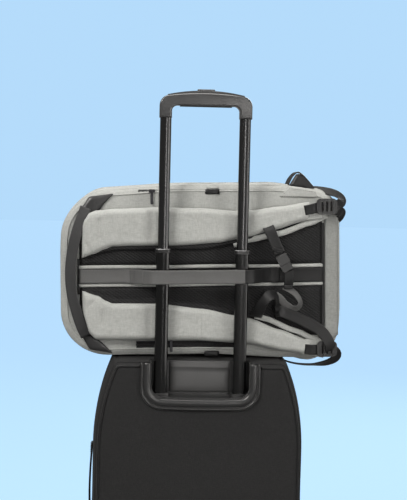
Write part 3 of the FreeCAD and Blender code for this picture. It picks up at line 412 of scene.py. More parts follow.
def stitches(name, paths, material=THREAD_DARK, body="duffel", outward=OUT,
             stitch=2.6, pitch=3.9, thick=0.42):
    """Rows of single stitches, each a small spindle lying on its path."""
    points, faces = [], []
    for path in paths:
        walk = smooth_path(path, pitch)
        for a, b in zip(walk, walk[1:]):
            t = (b - a).normalized()
            out = (outward - t * outward.dot(t)).normalized()
            side = t.cross(out)
            middle = (a + b) / 2
            base = len(points)
            points += [middle - t * stitch / 2, middle + t * stitch / 2]
            for dx, dy in ((thick, 0), (0, thick), (-thick, 0), (0, -thick)):
                points.append(middle + side * dx + out * dy)
            for k in range(4):
                m, n = base + 2 + k, base + 2 + (k + 1) % 4
                faces += [(base, m, n), (base + 1, n, m)]
    return add_piece(name, points, faces, [material], body)


def between(x, table):
    """Smoothly interpolates a list of (x, value)."""
    if x <= table[0][0]:
        return table[0][1]
    for (x0, v0), (x1, v1) in zip(table, table[1:]):
        if x <= x1:
            t = (x - x0) / (x1 - x0)
            return v0 + (v1 - v0) * (t * t * (3 - 2 * t) * 0.5 + t * 0.5)
    return table[-1][1]


def ripple(p, scale, seed=0.0):
    return noise.noise(Vector(p) / scale + Vector((seed, seed * 0.7, -seed)))


def pillow(name, x0, x1, low, high, base, top, material, slot, step, across, edge, end, ruffle,
           crease=None, replaces=(), fill=None):
    """A padded strip between two edge curves, crowned in its middle and pulled in at its seams.
    base and top are how deep its back and its crown lie, as y; edge and end are how far in from its
    sides and its ends the crown rises."""
    count = max(int((x1 - x0) / step), 6)
    points, lie = [], []
    for i in range(count + 1):
        x = x0 + (x1 - x0) * i / count
        lo, hi = low(x), high(x)
        # the crown falls away in a quarter round at each end, as it does at the sides
        fade = min(1.0, (x - x0) / end, (x1 - x) / end)
        fade = math.sqrt(max(1 - (1 - fade) ** 2, 0.0))
        ring = []
        for side in (0, 1):
            for j in range(across + 1):
                s = j / across if side == 0 else 1 - j / across
                z = lo + (hi - lo) * s
                reach = min(s, 1 - s) * (hi - lo)
                rise = min(1.0, reach / edge)
                rise = math.sqrt(max(1 - (1 - rise) ** 2, 0.0)) * fade
                if side == 0:
                    y = base + (top - base) * (0.10 + 0.90 * rise)
                    y += ruffle * rise * (ripple((x, 0, z), 26) + 0.5 * ripple((x, 0, z), 11, 3.0))
                    if crease:
                        y += crease(x, z) * rise
                else:
                    y = base
                ring.append((x, y, z))
                lie.append((x, z, 0))
        points += [bag(*p) for p in ring]
    faces = rings_to_faces(count + 1, 2 * (across + 1))
    made = add_piece(name, points, faces, [material], "duffel", lie, None, replaces)
    return made


def groove(x, z, path, width, depth):
    """How far a sewn line or fold sinks the surface at (x, z)."""
    best = 1e9
    for (xa, za), (xb, zb) in zip(path, path[1:]):
        dx, dz = xb - xa, zb - za
        t = max(0.0, min(1.0, ((x - xa) * dx + (z - za) * dz) / (dx * dx + dz * dz)))
        best = min(best, math.hypot(x - xa - t * dx, z - za - t * dz))
    return depth * math.exp(-(best / width) ** 2)


# ---- the duffel's shell ----------------------------------------------------------------------

HALF_LENGTH, HEIGHT = 254, 309
LEFT_CORNER, RIGHT_CORNER = 85, 55
BAG_BACK, BAG_SEAM, BAG_FACE = -56, 92, 124


def rounded_outline(inset, box, corners, arc=14, runs=(26, 16)):
    """Points round a rectangle with four corner radii, with the same count at every inset."""
    x0, z0, x1, z1 = box
    turns = [  # place, direction inwards, radius and first angle of each corner in turn
        (x1, z0, -1, 1, corners[0], -90), (x1, z1, -1, -1, corners[1], 0),
        (x0, z1, 1, -1, corners[2], 90), (x0, z0, 1, 1, corners[3], 180),
    ]
    rounded = []
    for x, z, sx, sz, radius, first in turns:
        inner = max(radius - inset, 2.0)
        cx, cz = x + sx * (inset + inner), z + sz * (inset + inner)
        rounded.append([
            (cx + inner * math.cos(math.radians(first + 90 * k / arc)),
             cz + inner * math.sin(math.radians(first + 90 * k / arc)))
            for k in range(arc + 1)
        ])
    points = []
    for n, corner in enumerate(rounded):
        points += corner
        (ax, az), (bx, bz) = corner[-1], rounded[(n + 1) % 4][0]
        steps = runs[(n + 1) % 2]
        points += [(ax + (bx - ax) * k / steps, az + (bz - az) * k / steps) for k in range(1, steps)]
    return points


def ease(t):
    t = min(1.0, max(0.0, t))
    return t * t * (3 - 2 * t)


def bag_outline(inset):
    """The bag seen from behind: less full at its top end, and sagging at its foot end onto the case."""
    box = (-HALF_LENGTH, 0, HALF_LENGTH, HEIGHT)
    drooped = []
    for x, z in rounded_outline(inset, box, (RIGHT_CORNER, RIGHT_CORNER, LEFT_CORNER, LEFT_CORNER)):
        high = max(0.0, z / HEIGHT)
        sag = 8.0 * ease(x / 160) + 5.0 * ease((x - 165) / 30)
        fall = 7.0 * ease((-30 - x) / 150) + 8.0 * ease((x - 140) / 70)
        tuck = 11.0 * ease((-x - 150) / 90) * max(0.0, (high - 0.62) / 0.38) ** 1.5
        tuck -= 10.0 * ease((x - 150) / 90) * max(0.0, 1 - high / 0.36) ** 2
        drooped.append((x + tuck, z - fall * high - sag * max(0.0, 1 - high)))
    return drooped


def shell_rings(profile, soften):
    """One ring for each (inset, y) of a profile; soften(point, outward, inset) moves a point."""
    points = []
    for inset, y in profile:
        ring = bag_outline(inset)
        for k, (x, z) in enumerate(ring):
            (xa, za), (xb, zb) = ring[k - 1], ring[(k + 1) % len(ring)]
            dx, dz = xb - xa, zb - za
            length = math.hypot(dx, dz) or 1.0
            outward = Vector((dz / length, 0, -dx / length))
            points.append(bag(*soften(Vector((x, y, z)), outward, inset)))
    return points, len(bag_outline(0))


def quarter(radius, steps):
    """(inset, depth) round an edge, from the face to the side."""
    turns = [math.radians(90 * k / steps) for k in range(steps + 1)]
    return [(radius * (1 - math.sin(a)), radius * (1 - math.cos(a))) for a in turns]


def soften_back(p, outward, inset):
    """The sides swell between the seams and fall in soft folds; the back is nearly flat."""
    if inset < 15:
        side = max(0.0, math.sin(math.pi * (p.y - BAG_BACK) / (BAG_SEAM - BAG_BACK)))
        folds = ripple(p, 70, 4.0) * 2.2 + ripple((p.x, p.y * 2.2, p.z), 24, 9.0)
        return p + outward * side * (0.6 + folds)
    crown = min(1.0, (inset - 14) / 50)
    return p + Vector((0, ripple(p, 60, 2.0) * 1.2 * crown, 0))


def soften_shell(p, outward, inset):
    """The outside is softened; the lining inside it stays plain."""
    outside = (inset < 5.4 and p.y > BAG_BACK) or p.y < -50.5
    return soften_back(p, outward, inset) if outside else p


def soften_flap(p, outward, inset):
    """The front bulges in its middle and falls in folds; the lining inside it stays plain."""
    if p.y < 119.5 and inset > 5.4:
        return p
    full = min(1.0, inset / 90)
    crown = 7.0 * math.sqrt(full) * (1 if p.y > 110 else 0)
    folds = ripple(p, 85, 6.0) * 2.4 * full + ripple(p, 26, 12.0) * 0.9 * full
    return p + Vector((0, crown + folds, 0)) + outward * (1.5 if inset < 10 and p.y > 94 else 0)


def lined(name, profile, shape, lining, cloth, body, replaces):
    """A closed shell with its lining. lining says which steps of the profile are inside."""
    points, size = shape
    faces = rings_to_faces(len(profile), size)
    steps = [k // size for k in range(len(faces) - 2)] + [0, len(profile) - 1]
    picks = [int(step in lining) for step in steps]
    return add_piece(name, points, faces, [cloth, LINING], body, None, picks, replaces)


SHELL_PROFILE = [(i, BAG_BACK) for i in (150, 110, 70, 40, 24)]
SHELL_PROFILE += [(i, BAG_BACK + y) for i, y in quarter(14, 6)]
SHELL_PROFILE += [(0, y) for y in range(-32, 90, 8)] + [(0.6, 90), (2.0, 91.6), (5.5, 91.6)]
SHELL_LINING = len(SHELL_PROFILE) - 1
SHELL_PROFILE += [(6, 80), (6, 40), (6, 0), (6, -40), (8, -47), (14, -50), (60, -50), (150, -50)]
shell = lined("duffel_shell_cloth", SHELL_PROFILE, shell_rings(SHELL_PROFILE, soften_shell),
              range(SHELL_LINING, len(SHELL_PROFILE)), DUFFEL_CLOTH, "duffel",
              ["duffel_shell"])

FLAP_PROFILE = [(150, 119), (60, 118), (26, 118), (12, 114), (6, 106), (6, 96), (5.5, 92.9)]
FLAP_LINED = len(FLAP_PROFILE) - 1
FLAP_PROFILE += [(2.0, 92.7), (0.4, 94.5), (0, 98)]
FLAP_PROFILE += [(i, BAG_FACE - y) for i, y in reversed(quarter(20, 7))]
FLAP_PROFILE += [(i, BAG_FACE) for i in (30, 48, 72, 100, 126, 150)]
flap = lined("duffel_flap_cloth", FLAP_PROFILE, shell_rings(FLAP_PROFILE, soften_flap), range(FLAP_LINED),
             DUFFEL_CLOTH, "duffel_front", ["duffel_flap"])


def ring_path(inset, y, step=4.0, swell=0.0):
    """A closed path round the bag at an inset."""
    return smooth_path([bag(x, y, z) for x, z in bag_outline(inset - swell)][::3], step, closed=True)


def ring_out(path, centre=(4, 0, 706)):
    """Outward directions on a path round the bag or the case, away from its middle."""
    n = len(path)
    found = []
    for k, p in enumerate(path):
        t = (path[(k + 1) % n] - path[k - 1]).normalized()
        out = t.cross(FORWARD)
        if out.dot(p - Vector(centre)) < 0:
            out = -out
        found.append(out.normalized())
    return found


# piping round the back panel's seam, and a second line just outside it
for label, inset, y, radius in (("inner", 12.5, -56.2, 1.5), ("outer", 3.0, -49.5, 1.3)):
    sweep(f"duffel_piping_{label}", ring_path(inset, y), round_section(radius), closed=True)
# the line along the edge seam takes the darker canvas copy, painted shade
sweep("duffel_edge_seam", ring_path(8.2, -53.5), round_section(0.8, 6), DUFFEL_SHADE, closed=True)

# the zip between the shell and the flap: tape, coil and piping
ZIP_Y = 89.0
tape = ring_path(0, ZIP_Y, swell=1.0)
sweep("duffel_zip_tape", tape, strap_section(5.5, 0.8, 0.05), TAPE, outward=ring_out(tape),
      closed=True, replaces=["duffel_zip_chain"])


def coil(name, path, outward, body, width=3.6, height=1.1, pitch=2.2, closed=False):
    """A zip's coil: one rounded tooth after another, across the path."""
    points, faces = [], []
    profile = ((-pitch * 0.36, 0), (-pitch * 0.22, height), (pitch * 0.22, height), (pitch * 0.36, 0))
    for k, (p, t) in enumerate(zip(path, tangents(path, closed))):
        out = outward[k] if isinstance(outward, list) else outward
        out = (out - t * out.dot(t)).normalized()
        side = t.cross(out)
        a = len(points)
        for along, rise in profile:
            reach = side * width / 2 * (0.86 if rise else 1)
            points += [p + t * along - reach + out * rise, p + t * along + reach + out * rise]
        faces += [(a, a + 1, a + 3, a + 2), (a + 2, a + 3, a + 5, a + 4), (a + 4, a + 5, a + 7, a + 6),
                  (a, a + 2, a + 4, a + 6), (a + 1, a + 7, a + 5, a + 3), (a, a + 6, a + 7, a + 1)]
    return add_piece(name, points, faces, [COIL], body)


teeth = ring_path(0, ZIP_Y, 2.4, swell=1.4)
coil("duffel_zip_coil", teeth, ring_out(teeth), "duffel", closed=True)
for label, y, body in (("shell", 84.5, "duffel"), ("flap", 96.0, "duffel_front")):
    sweep(f"duffel_zip_welt_{label}", ring_path(0, y, swell=0.9), round_section(1.5), body=body, closed=True)


# ---- the duffel's back: pads, channel, trolley strap -----------------------------------------

UPPER_LINE, LOWER_LINE, CHANNEL = 160.5, 128.0, 144.5
STRAP_TOP = [(-214, 232), (-209, 247), (-200, 259), (-188, 263), (-160, 265.5), (-77, 268), (0, 266),
             (60, 261), (87, 261.5), (140, 268), (196, 276)]
STRAP_LOW = [(-214, 178), (-194, 184), (-172, 193), (-160, 197.5), (-128, 198.5), (-40, 198.5), (30, 203),
             (87, 214), (116, 222), (196, 243)]
LOW_TOP = [(-214, 119), (-186, 111), (-172, 102), (-160, 97), (-80, 96), (0, 86), (86, 67), (140, 46),
           (196, 25)]
LOW_LOW = [(-214, 84), (-209, 66), (-202, 42), (-190, 31), (-129, 29.5), (-20, 28), (80, 21), (153, 6),
           (196, -1)]


def table(rows, shift=0.0):
    return lambda x: between(x, rows) + shift


PAD_ENDS = (-219, 219.5)
for label, low, high in (("upper", UPPER_LINE + 2.5, 243), ("lower", 34, LOWER_LINE - 2.5)):
    pillow(f"mesh_pad_{label}", *PAD_ENDS, lambda x: low, lambda x: high, -56.3, -64.0, MESH, "mesh",
           5, 18, 7, 8, 0.6, replaces=[f"back_pad_{label}"], fill=0.6)
pillow("back_channel", *PAD_ENDS, lambda x: LOWER_LINE, lambda x: UPPER_LINE, -56.0, -58.0, MESH, "mesh",
       8, 8, 5, 5, 0.0)
for label, z in (("upper", UPPER_LINE), ("lower", LOWER_LINE)):
    line = [bag(-220 + 440 * k / 60, -59.5 + 0.3 * math.sin(k * 0.7), z + 0.5 * math.sin(k * 0.23))
            for k in range(61)]
    sweep(f"back_piping_{label}", line, round_section(3.6, 14))
    edge_line = [p + Vector((0, -1.2, 3.4 if label == "lower" else -3.4)) for p in line]
    sweep(f"back_piping_tape_{label}", edge_line, strap_section(3.0, 1.0, 0.0), BINDING)

# bindings on the mesh's two ends, and the grey panel past its foot end
for label, x, y, heights, width, thickness in (("end", 220.5, -60.5, range(28, 252, 14), 5.0, 1.6),
                                               ("top", -220.5, -60.0, range(112, 184, 8), 4.0, 1.4)):
    binding = smooth_path([bag(x, y, z) for z in heights], 4)
    sweep(f"mesh_{label}_binding", binding, strap_section(width, thickness, 0.1), BINDING)


def panel_creases(x, z):
    upper = 1.4 * math.exp(-((z - 215 - (x - 236) * 1.3) / 3.5) ** 2)
    return upper + math.exp(-((z - 62 + (x - 236) * 0.8) / 4) ** 2)


# the foot end panel takes the darker canvas copy, painted shade
pillow("foot_end_panel", 223, 249.5, lambda x: 22 + max(0, x - 236) * 0.9,
       lambda x: 271 - max(0, x - 232) * 0.9, -55.0, -60.5, DUFFEL_END_SHADED, "duffel_fabric",
       2.4, 46, 5, 6, 0.8, panel_creases, fill=0.35)

UPPER_CREASES = [
    ([(-184, 246), (-181, 214)], 2.2, 2.4), ([(-207, 205), (-196, 187)], 2.4, 2.6),
    ([(-209, 232), (-207, 205)], 3.0, 1.2), ([(-3, 268), (-4, 199)], 0.9, 1.5),
    ([(30, 266), (30, 204)], 0.9, 1.2), ([(-90, 256), (-88, 236), (-92, 214)], 9.0, 2.2),
    ([(-75, 266), (-20, 263), (28, 262)], 1.8, 2.0),
]
LOWER_CREASES = [
    ([(-177, 85), (-179, 58)], 2.2, 2.4), ([(-186, 108), (-206, 88)], 1.4, 1.8),
    ([(-90, 88), (-93, 60), (-90, 40)], 9.0, 2.4), ([(-3, 86), (-4, 30)], 0.9, 1.3),
    ([(84, 66), (80, 24)], 2.4, 1.2),
]
for label, low, high, creases in (("upper", STRAP_LOW, STRAP_TOP, UPPER_CREASES),
                                  ("lower", LOW_LOW, LOW_TOP, LOWER_CREASES)):
    pillow(f"shoulder_strap_cloth_{label}", -214, 197, table(low), table(high), -66.0, -78.6, DUFFEL_CLOTH,
           "duffel_fabric", 2.6, 44, 11, 7, 0.9,
           lambda x, z: sum(groove(x, z, *crease) for crease in creases),
           [f"shoulder_strap_{label}"], 0.65)

# the mesh underside of each shoulder strap shows as a dark edge towards the channel
EDGE_UP = [(-210, 176), (-170, 187), (-150, 190), (0, 190), (60, 199), (110, 212), (190, 236)]
EDGE_LO = [(-210, 121), (-172, 112), (-150, 105.5), (-80, 105), (0, 95), (86, 76), (140, 55), (205, 27)]
for label, low, high, x1 in (("upper", table(EDGE_UP), table(STRAP_LOW, 14), 100),
                             ("lower", table(LOW_TOP, -14), table(EDGE_LO), 60)):
    pillow(f"strap_underside_{label}", -212, x1, low, high, -60.0, -70.5, MESH, "mesh", 5, 16, 5, 10, 0.5,
           fill=0.5)


def cloth_strip(name, rows, width, x0, x1):
    """A folded edge of cloth that shows beside a strap."""
    path = smooth_path([bag(x, -67.5, between(x, rows)) for x in range(x0, x1 + 1, 12)], 4)
    half = width / 2
    section = [(-half, 0.6), (1 - half, 2.2), (0, 3.0), (half - 1, 2.2), (half, 0.6), (0, -0.5)]
    return sweep(name, path, section)


cloth_strip("strap_base_upper", [(60, 200), (87, 209), (140, 219), (202, 240), (226, 252)], 11, 58, 226)
cloth_strip("strap_base_lower", [(96, 71), (114, 66), (170, 43), (208, 26), (228, 12)], 10, 96, 228)
tip = smooth_path([bag(x, -71, 259 + (x - 196) * 0.12) for x in (186, 196, 206, 214, 222)], 4)
sweep("strap_tip_cloth_upper", tip, strap_section(30, 3.5, 0.0))
tip = smooth_path([bag(x, -71, 14 - (x - 190) * 0.2) for x in (184, 194, 204, 214, 222)], 4)
sweep("strap_tip_cloth_lower", tip, strap_section(28, 3.5, 0.0))


def strap(name, points, width, thickness=1.7, outward=OUT, material=DARK_WEBBING, body="duffel",
          replaces=(), frame_of=bag):
    """Webbing through the points. A list of outward directions twists it as it goes."""
    path = smooth_path([frame_of(*p) for p in points], 4.0)
    if isinstance(outward, list):
        twist = []
        for k in range(len(path)):
            spot = k / (len(path) - 1) * (len(outward) - 1)
            i = min(int(spot), len(outward) - 2)
            twist.append(Vector(outward[i]).lerp(Vector(outward[i + 1]), spot - i))
        outward = twist
    return sweep(name, path, strap_section(width, thickness), material, body, outward,
                 replaces=replaces)


# the trolley strap: across the back, out over the tubes and back again, darker past the right tube
TROLLEY_HALF = [(0, -106.0), (60, -105.8), (86, -104.6), (100, -93), (112, -78), (130, -65.5), (150, -64.2),
                (190, -64.0), (219, -63.4)]
trolley_run = [(-x, y) for x, y in reversed(TROLLEY_HALF[1:])] + TROLLEY_HALF
trolley = strap("trolley_strap_web", [(x, y, CHANNEL) for x, y in trolley_run], 25, 1.8, material=WEBBING,
                replaces=["trolley_strap"])
trolley.data.materials.append(DARK_WEBBING)
for face in trolley.data.polygons:
    face.material_index = 1 if face.center.x > 0.075 else 0
fold = [(-128, -66.8), (-116, -76), (-104, -89.5)]
strap("trolley_strap_fold_left", [(x, y, CHANNEL) for x, y in fold], 25.6, 1.4, material=WEBBING)
keeper = [(124, -67.6), (133, -66.6), (142, -66.2)]
strap("trolley_strap_keeper", [(x, y, CHANNEL + 0.5) for x, y in keeper], 27, 2.0)
rows = []
for x, y in ((-123, -74.0), (-120, -77.0), (137, -70.2), (140, -70.2)):
    rows.append([bag(x, y, CHANNEL - 11.5), bag(x, y, CHANNEL + 11.5)])
for x0, y0, x1, y1 in ((-216, -65.4, -134, -66.4), (145, -66.2, 216, -65.4)):
    rows += [[bag(x0, y0, CHANNEL + s), bag(x1, y1, CHANNEL + s)] for s in (-10.2, 10.2)]
stitches("trolley_strap_stitching", rows)

# ---- the end handle --------------------------------------------------------------------------

strap("end_handle_web", [(-207, -62, 268), (-214, -67, 250), (-224, -71, 220), (-231.5, -72.5, 186),
                         (-234.5, -73, 152), (-232.5, -72.5, 118), (-226, -71.5, 88), (-216, -68, 55),
                         (-208, -63, 38)],
      19.5, 3.4, [(0.1, -1, 0.25), (0.05, -1, 0.1), (0, -1, 0), (0, -1, 0), (0, -1, -0.1)], END_WEBBING,
      replaces=["end_handle"])
strap("end_handle_liner", [(-207, -59.5, 266), (-214, -64.5, 248), (-223.5, -68, 220), (-231, -69.4, 186),
                           (-234, -69.8, 152), (-232, -69.4, 118), (-225.5, -68.5, 88), (-216, -65.5, 57),
                           (-208, -60.5, 40)], 17, 2.6)


def along_sides(corners):
    """Puts extra points on a polygon's sides, so that smoothing keeps them straight."""
    made = []
    for k, (x, z) in enumerate(corners):
        xb, zb = corners[(k + 1) % len(corners)]
        made += [(x + (xb - x) * t, z + (zb - z) * t) for t in (0.06, 0.35, 0.65, 0.94)]
    return made


def patch(name, corners, y, thickness=1.6, material=DARK_WEBBING):
    """A flat sewn-on patch, its outline rounded and its face a little crowned."""
    outline = smooth_path([(x, 0, z) for x, z in along_sides(corners)], 3.0, closed=True)
    cx = sum(p.x for p in outline) / len(outline)
    cz = sum(p.z for p in outline) / len(outline)
    points = []
    rings = ((1.0, 0.4), (1.0, -0.9), (0.97, -thickness), (0.6, -thickness - 0.7), (0.2, -thickness - 1.0))
    for share, depth in rings:
        for p in outline:
            wobble = ripple((p.x, 0, p.z), 14, 5.0) * 0.5 * (1 - share)
            points.append(bag(cx + (p.x - cx) * share, y + depth + wobble, cz + (p.z - cz) * share))
    return add_piece(name, points, rings_to_faces(len(rings), len(outline)), [material], "duffel")


UPPER_PATCH = [(-156, 293), (-200, 288), (-223, 256), (-208, 243), (-186, 257), (-176, 272)]
LOWER_PATCH = [(-222, 47), (-202, 12), (-160, 5), (-182, 27), (-201, 37), (-206, 53)]
for label, corners, rise in (("upper", UPPER_PATCH, 4.0), ("lower", LOWER_PATCH, 0.8)):
    # the patch wraps the bag's rounded edge, so it lies a little back from the handle
    patch(f"end_patch_{label}", corners, -57.0, 2.2, PATCH)
    inner = [(x * 0.985 - 2.9, z * 0.985 + rise) for x, z in corners]
    stitches(f"end_patch_stitching_{label}", [[bag(x, -60.6, z) for x, z in along_sides(inner)]],
             stitch=2.2, pitch=3.6, thick=0.35)


# ---- webbing, tabs and zips at the duffel's foot end ------------------------------------------

# each web's width and thickness, its course, and the way its face turns along it
LOOSE_WEBS = [
    ("adjuster_web_upper", 18, 1.8,
     [(186, -77.5, 261), (196, -80.6, 263), (204, -80.5, 265), (212, -78, 267), (226, -77.4, 268),
      (240, -78, 268.5), (247, -75, 271), (253, -68, 275), (255, -58, 281), (249, -51, 288), (236, -46, 293),
      (219, -42, 296), (202, -39, 297)],
     [(0, -1, 0), (0, -1, 0), (0, -1, 0.1), (0.25, -1, 0.2), (0.5, -0.9, 0.6), (0.2, -0.9, 0.8),
      (0, -0.9, 0.8)]),
    ("adjuster_tail_upper", 17, 1.7,
     [(238, -79.5, 264), (246, -77, 260), (252, -71, 258), (255, -62, 254), (252, -54, 247), (244, -49, 241)],
     [(0.1, -1, 0), (0.4, -1, -0.2), (0.5, -0.9, -0.3), (0.4, -0.9, -0.2)]),
    ("adjuster_web_lower", 18, 1.8,
     [(186, -77.5, 11), (196, -80.6, 10), (204, -80.5, 10), (212, -78, 10.5), (226, -77.4, 11), (238, -78, 8),
      (244, -74, 0), (240, -68, -9), (226, -62, -16), (206, -57, -19), (184, -53, -19), (164, -50, -16),
      (146, -47, -10)],
     [(0, -1, 0), (0, -1, 0), (0, -1, 0), (0.6, -0.8, -0.4), (0.4, -0.4, -1), (0, -0.25, -1), (0, -0.2, -1)]),
    ("load_band", 20, 2.0,
     [(132, -71, 78), (141, -80, 80), (156, -85.5, 75), (178, -87, 65), (199, -87, 54), (213, -87, 45),
      (223, -87.5, 33), (229, -87, 21), (231, -84, 8)],
     [(0, -1, 0), (0, -1, 0.15), (0.1, -1, 0.1), (0.3, -1, 0)]),
    ("slack_fold", 21, 1.9,
     [(98, -70, 70), (103, -82, 82), (110, -90, 97), (119, -92, 108), (128, -88, 110), (134, -81, 102),
      (137, -76, 90), (140, -78, 80)],
     [(0.2, -1, 0.2), (-0.3, -1, 0.3), (-0.3, -0.8, 0.8), (0.5, -0.7, 0.8), (0.9, -0.5, 0.1),
      (0.6, -0.9, -0.2)]),
    ("sternum_web_upper", 20, 1.6,
     [(117, -72, 238), (122, -80, 227), (127.5, -83, 214), (133, -83.8, 200), (138, -84.2, 189),
      (140.5, -84.6, 183)], OUT),
    ("sternum_web_lower", 17, 1.6,
     [(154.5, -84.8, 154), (156, -84.6, 147), (156.5, -84.2, 138), (155.5, -82, 127), (153, -78, 120)], OUT),
    ("sternum_loop", 15, 1.4,
     [(149, -77, 124), (159, -82, 118), (170, -85, 108), (176, -86, 97), (173, -84, 88), (163, -80, 85),
      (152, -77, 91), (142, -75, 102), (133, -73, 108)],
     [(0.3, -0.9, 0.4), (0.6, -0.7, 0.5), (0.9, -0.6, 0), (0.4, -0.9, -0.5), (-0.3, -0.9, -0.4),
      (-0.5, -0.8, 0.3)]),
    ("sternum_keeper", 6.5, 1.8, [(126, -86.4, 193.5), (136, -87.4, 190), (146, -86.4, 186)], OUT),
    ("sternum_hem", 7, 1.6, [(147, -85.2, 124), (155, -86.4, 124), (163, -85.2, 124)], OUT),
]
for name, width, thickness, course, turns in LOOSE_WEBS:
    strap(name, course, width, thickness, turns, WEBBING if name == "sternum_loop" else DARK_WEBBING)

patch("grab_wing", [(141, 285), (161, 305), (184, 302), (205, 297), (212, 283)], -55.0, 3.0, DUFFEL_CLOTH)
patch("grab_fold", [(160, 304), (174, 326), (183, 327), (197, 314), (209, 296), (185, 301)], -46.0, 3.0)
strap("grab_handle", [(158, -38, 303), (165, -32, 318), (176, -28, 328), (186, -28, 325), (197, -31, 313),
                      (208, -36, 298)], 24, 2.0, [(-0.8, 0, 0.6), (-0.5, 0, 1), (0.4, 0, 1), (0.8, 0, 0.7)])
wing_rows = [[bag(146 + 8 * k, -59.2, 286 - 0.2 * k) for k in range(8)],
             [bag(150, -59.4, 290), bag(162, -59.4, 301)], [bag(165, -59.4, 300), bag(203, -59.4, 294)]]
stitches("grab_stitching", wing_rows)
patch("top_tab", [(8, 290.5), (34, 290.5), (34, 300), (8, 300)], -56.0)
patch("top_tab_garage", [(10, 300.5), (33, 300.5), (33, 304), (10, 304)], -54.0, 1.8, DUFFEL_CLOTH)
patch("foot_tab", [(5, -3), (32, -3), (32, 7), (5, 7)], -56.4)


def back_zip(label, z, x0, x1, y, width):
    """A zip across the bag's back: its tape, its coil and a welt on each side."""
    line = [bag(x0 + (x1 - x0) * k / 40, y, z) for k in range(41)]
    sweep(f"back_zip_tape_{label}", smooth_path(line, 5), strap_section(width, 0.6, 0.0), TAPE)
    coil(f"back_zip_coil_{label}", smooth_path([p + OUT * 0.5 for p in line], 2.4), OUT, "duffel", 3.0, 0.7)
    for edge, shift in (("low", -1), ("high", 1)):
        welt = smooth_path([p + UP * shift * (width / 2 + 0.6) for p in line], 5)
        sweep(f"back_zip_welt_{label}_{edge}", welt, round_section(1.3, 8))


back_zip("upper", 296.5, -112, 142, -54.2, 5.5)
back_zip("lower", 19.5, -118, 82, -56.0, 14.0)

# rows of stitching a little inside the shoulder straps' edges
rows = []
for edge, shift in ((STRAP_TOP, -5.5), (STRAP_LOW, 5.5), (LOW_TOP, -5.0), (LOW_LOW, 5.0)):
    rows.append([bag(x, -76.6, between(x, edge) + shift) for x in range(-150, 190, 10)])
stitches("shoulder_strap_stitching", rows, THREAD, stitch=2.4, pitch=4.0, thick=0.3)

# ---- the case --------------------------------------------------------------------------------

HALF_WIDTH, CASE_BASE, CASE_TOP, SHOULDER_Z, SHOULDER_R = 186, 40, 545, 385, 405
CASE_BACK = -115
CASE_MIDDLE = (0, 0, 300)


def case_outline(inset):
    """The case seen from behind: straight sides that turn in over the shoulders to the top."""
    low = max(24 - inset, 2.0)
    high = max(16 - inset, 2.0)
    shoulder_x = HALF_WIDTH - SHOULDER_R
    reach = SHOULDER_R - inset
    corner_z = CASE_TOP - inset - high
    corner_x = shoulder_x + math.sqrt((reach - high) ** 2 - (corner_z - SHOULDER_Z) ** 2)
    lean = math.atan2(corner_z - SHOULDER_Z, corner_x - shoulder_x)
    side = HALF_WIDTH - inset
    right = []
    for k in range(9):
        a = math.radians(-90 + 90 * k / 8)
        right.append((side - low + low * math.cos(a), CASE_BASE + inset + low + low * math.sin(a)))
    z0 = CASE_BASE + inset + low
    right += [(side, z0 + (SHOULDER_Z - z0) * k / 16) for k in range(1, 17)]
    for k in range(1, 13):
        a = lean * k / 12
        right.append((shoulder_x + reach * math.cos(a), SHOULDER_Z + reach * math.sin(a)))
    for k in range(1, 9):
        a = lean + (math.pi / 2 - lean) * k / 8
        right.append((corner_x + high * math.cos(a), corner_z + high * math.sin(a)))
    top = [(corner_x * (1 - k / 10), CASE_TOP - inset) for k in range(1, 11)]
    foot = [((side - low) * k / 10, CASE_BASE + inset) for k in range(0, 10)]
    half = foot + right + top
    return half + [(-x, z) for x, z in reversed(half[1:-1])]


def case_rings(profile, soften):
    """One ring for each (inset, y) of a profile; soften(point, inset) moves a point."""
    points = []
    for inset, y in profile:
        points += [soften(Vector((x, y, z)), inset) for x, z in case_outline(inset)]
    return points, len(case_outline(0))


def soften_case(p, inset):
    """The gussets belly out a little, and the cloth lies over its frame with faint waves."""
    if inset > 6.9:
        return p + Vector((0, -0.9 * ripple(p, 120, 3.0) if p.y < -114 else 0, 0))
    swell = 4.2 * math.sin(math.pi * min(max((p.y + 112) / 184, 0), 1))
    flat = Vector((p.x / 186, 0, (p.z - 300) / 300)) if abs(p.x) > 150 else Vector((0, 0, 0))
    return p + flat * (swell + 0.8 * ripple(p, 90, 8.0))


CASE_PROFILE = [(i, CASE_BACK) for i in (150, 100, 60, 30)]
CASE_PROFILE += [(16, -114.8), (11, -113.6), (8, -111.5), (5.5, -107), (3, -99), (1, -88)]
CASE_PROFILE += [(0, y) for y in (-74, -52, -30, -8, 14, 36, 54)] + [(0.5, 66), (2.5, 73), (4, 74.7)]
CASE_LINING = len(CASE_PROFILE) - 1
CASE_PROFILE += [(7, y) for y in (74.7, 40, 0, -40, -80, -106)] + [(i, -110.6) for i in (12, 60, 150)]


def cut_boxes(obj, boxes):
    """Cuts boxes out of a closed mesh, for the parts that are let into it."""
    build = bmesh.new()
    for low, high in boxes:
        made = bmesh.ops.create_cube(build, size=1.0)["verts"]
        low, high = Vector(low) * MM, Vector(high) * MM
        for v in made:
            v.co = Vector([low[i] if v.co[i] < 0 else high[i] for i in range(3)])
    cutter_mesh = bpy.data.meshes.new("cutter")
    build.to_mesh(cutter_mesh)
    build.free()
    cutter = bpy.data.objects.new("cutter", cutter_mesh)
    scene.collection.objects.link(cutter)
    change = obj.modifiers.new("cut", "BOOLEAN")
    change.object = cutter
    change.operation = "DIFFERENCE"
    change.solver = "EXACT"
    bpy.context.view_layer.update()
    result = bpy.data.meshes.new_from_object(obj.evaluated_get(bpy.context.evaluated_depsgraph_get()))
    obj.modifiers.clear()
    obj.data = result
    bpy.data.objects.remove(cutter)


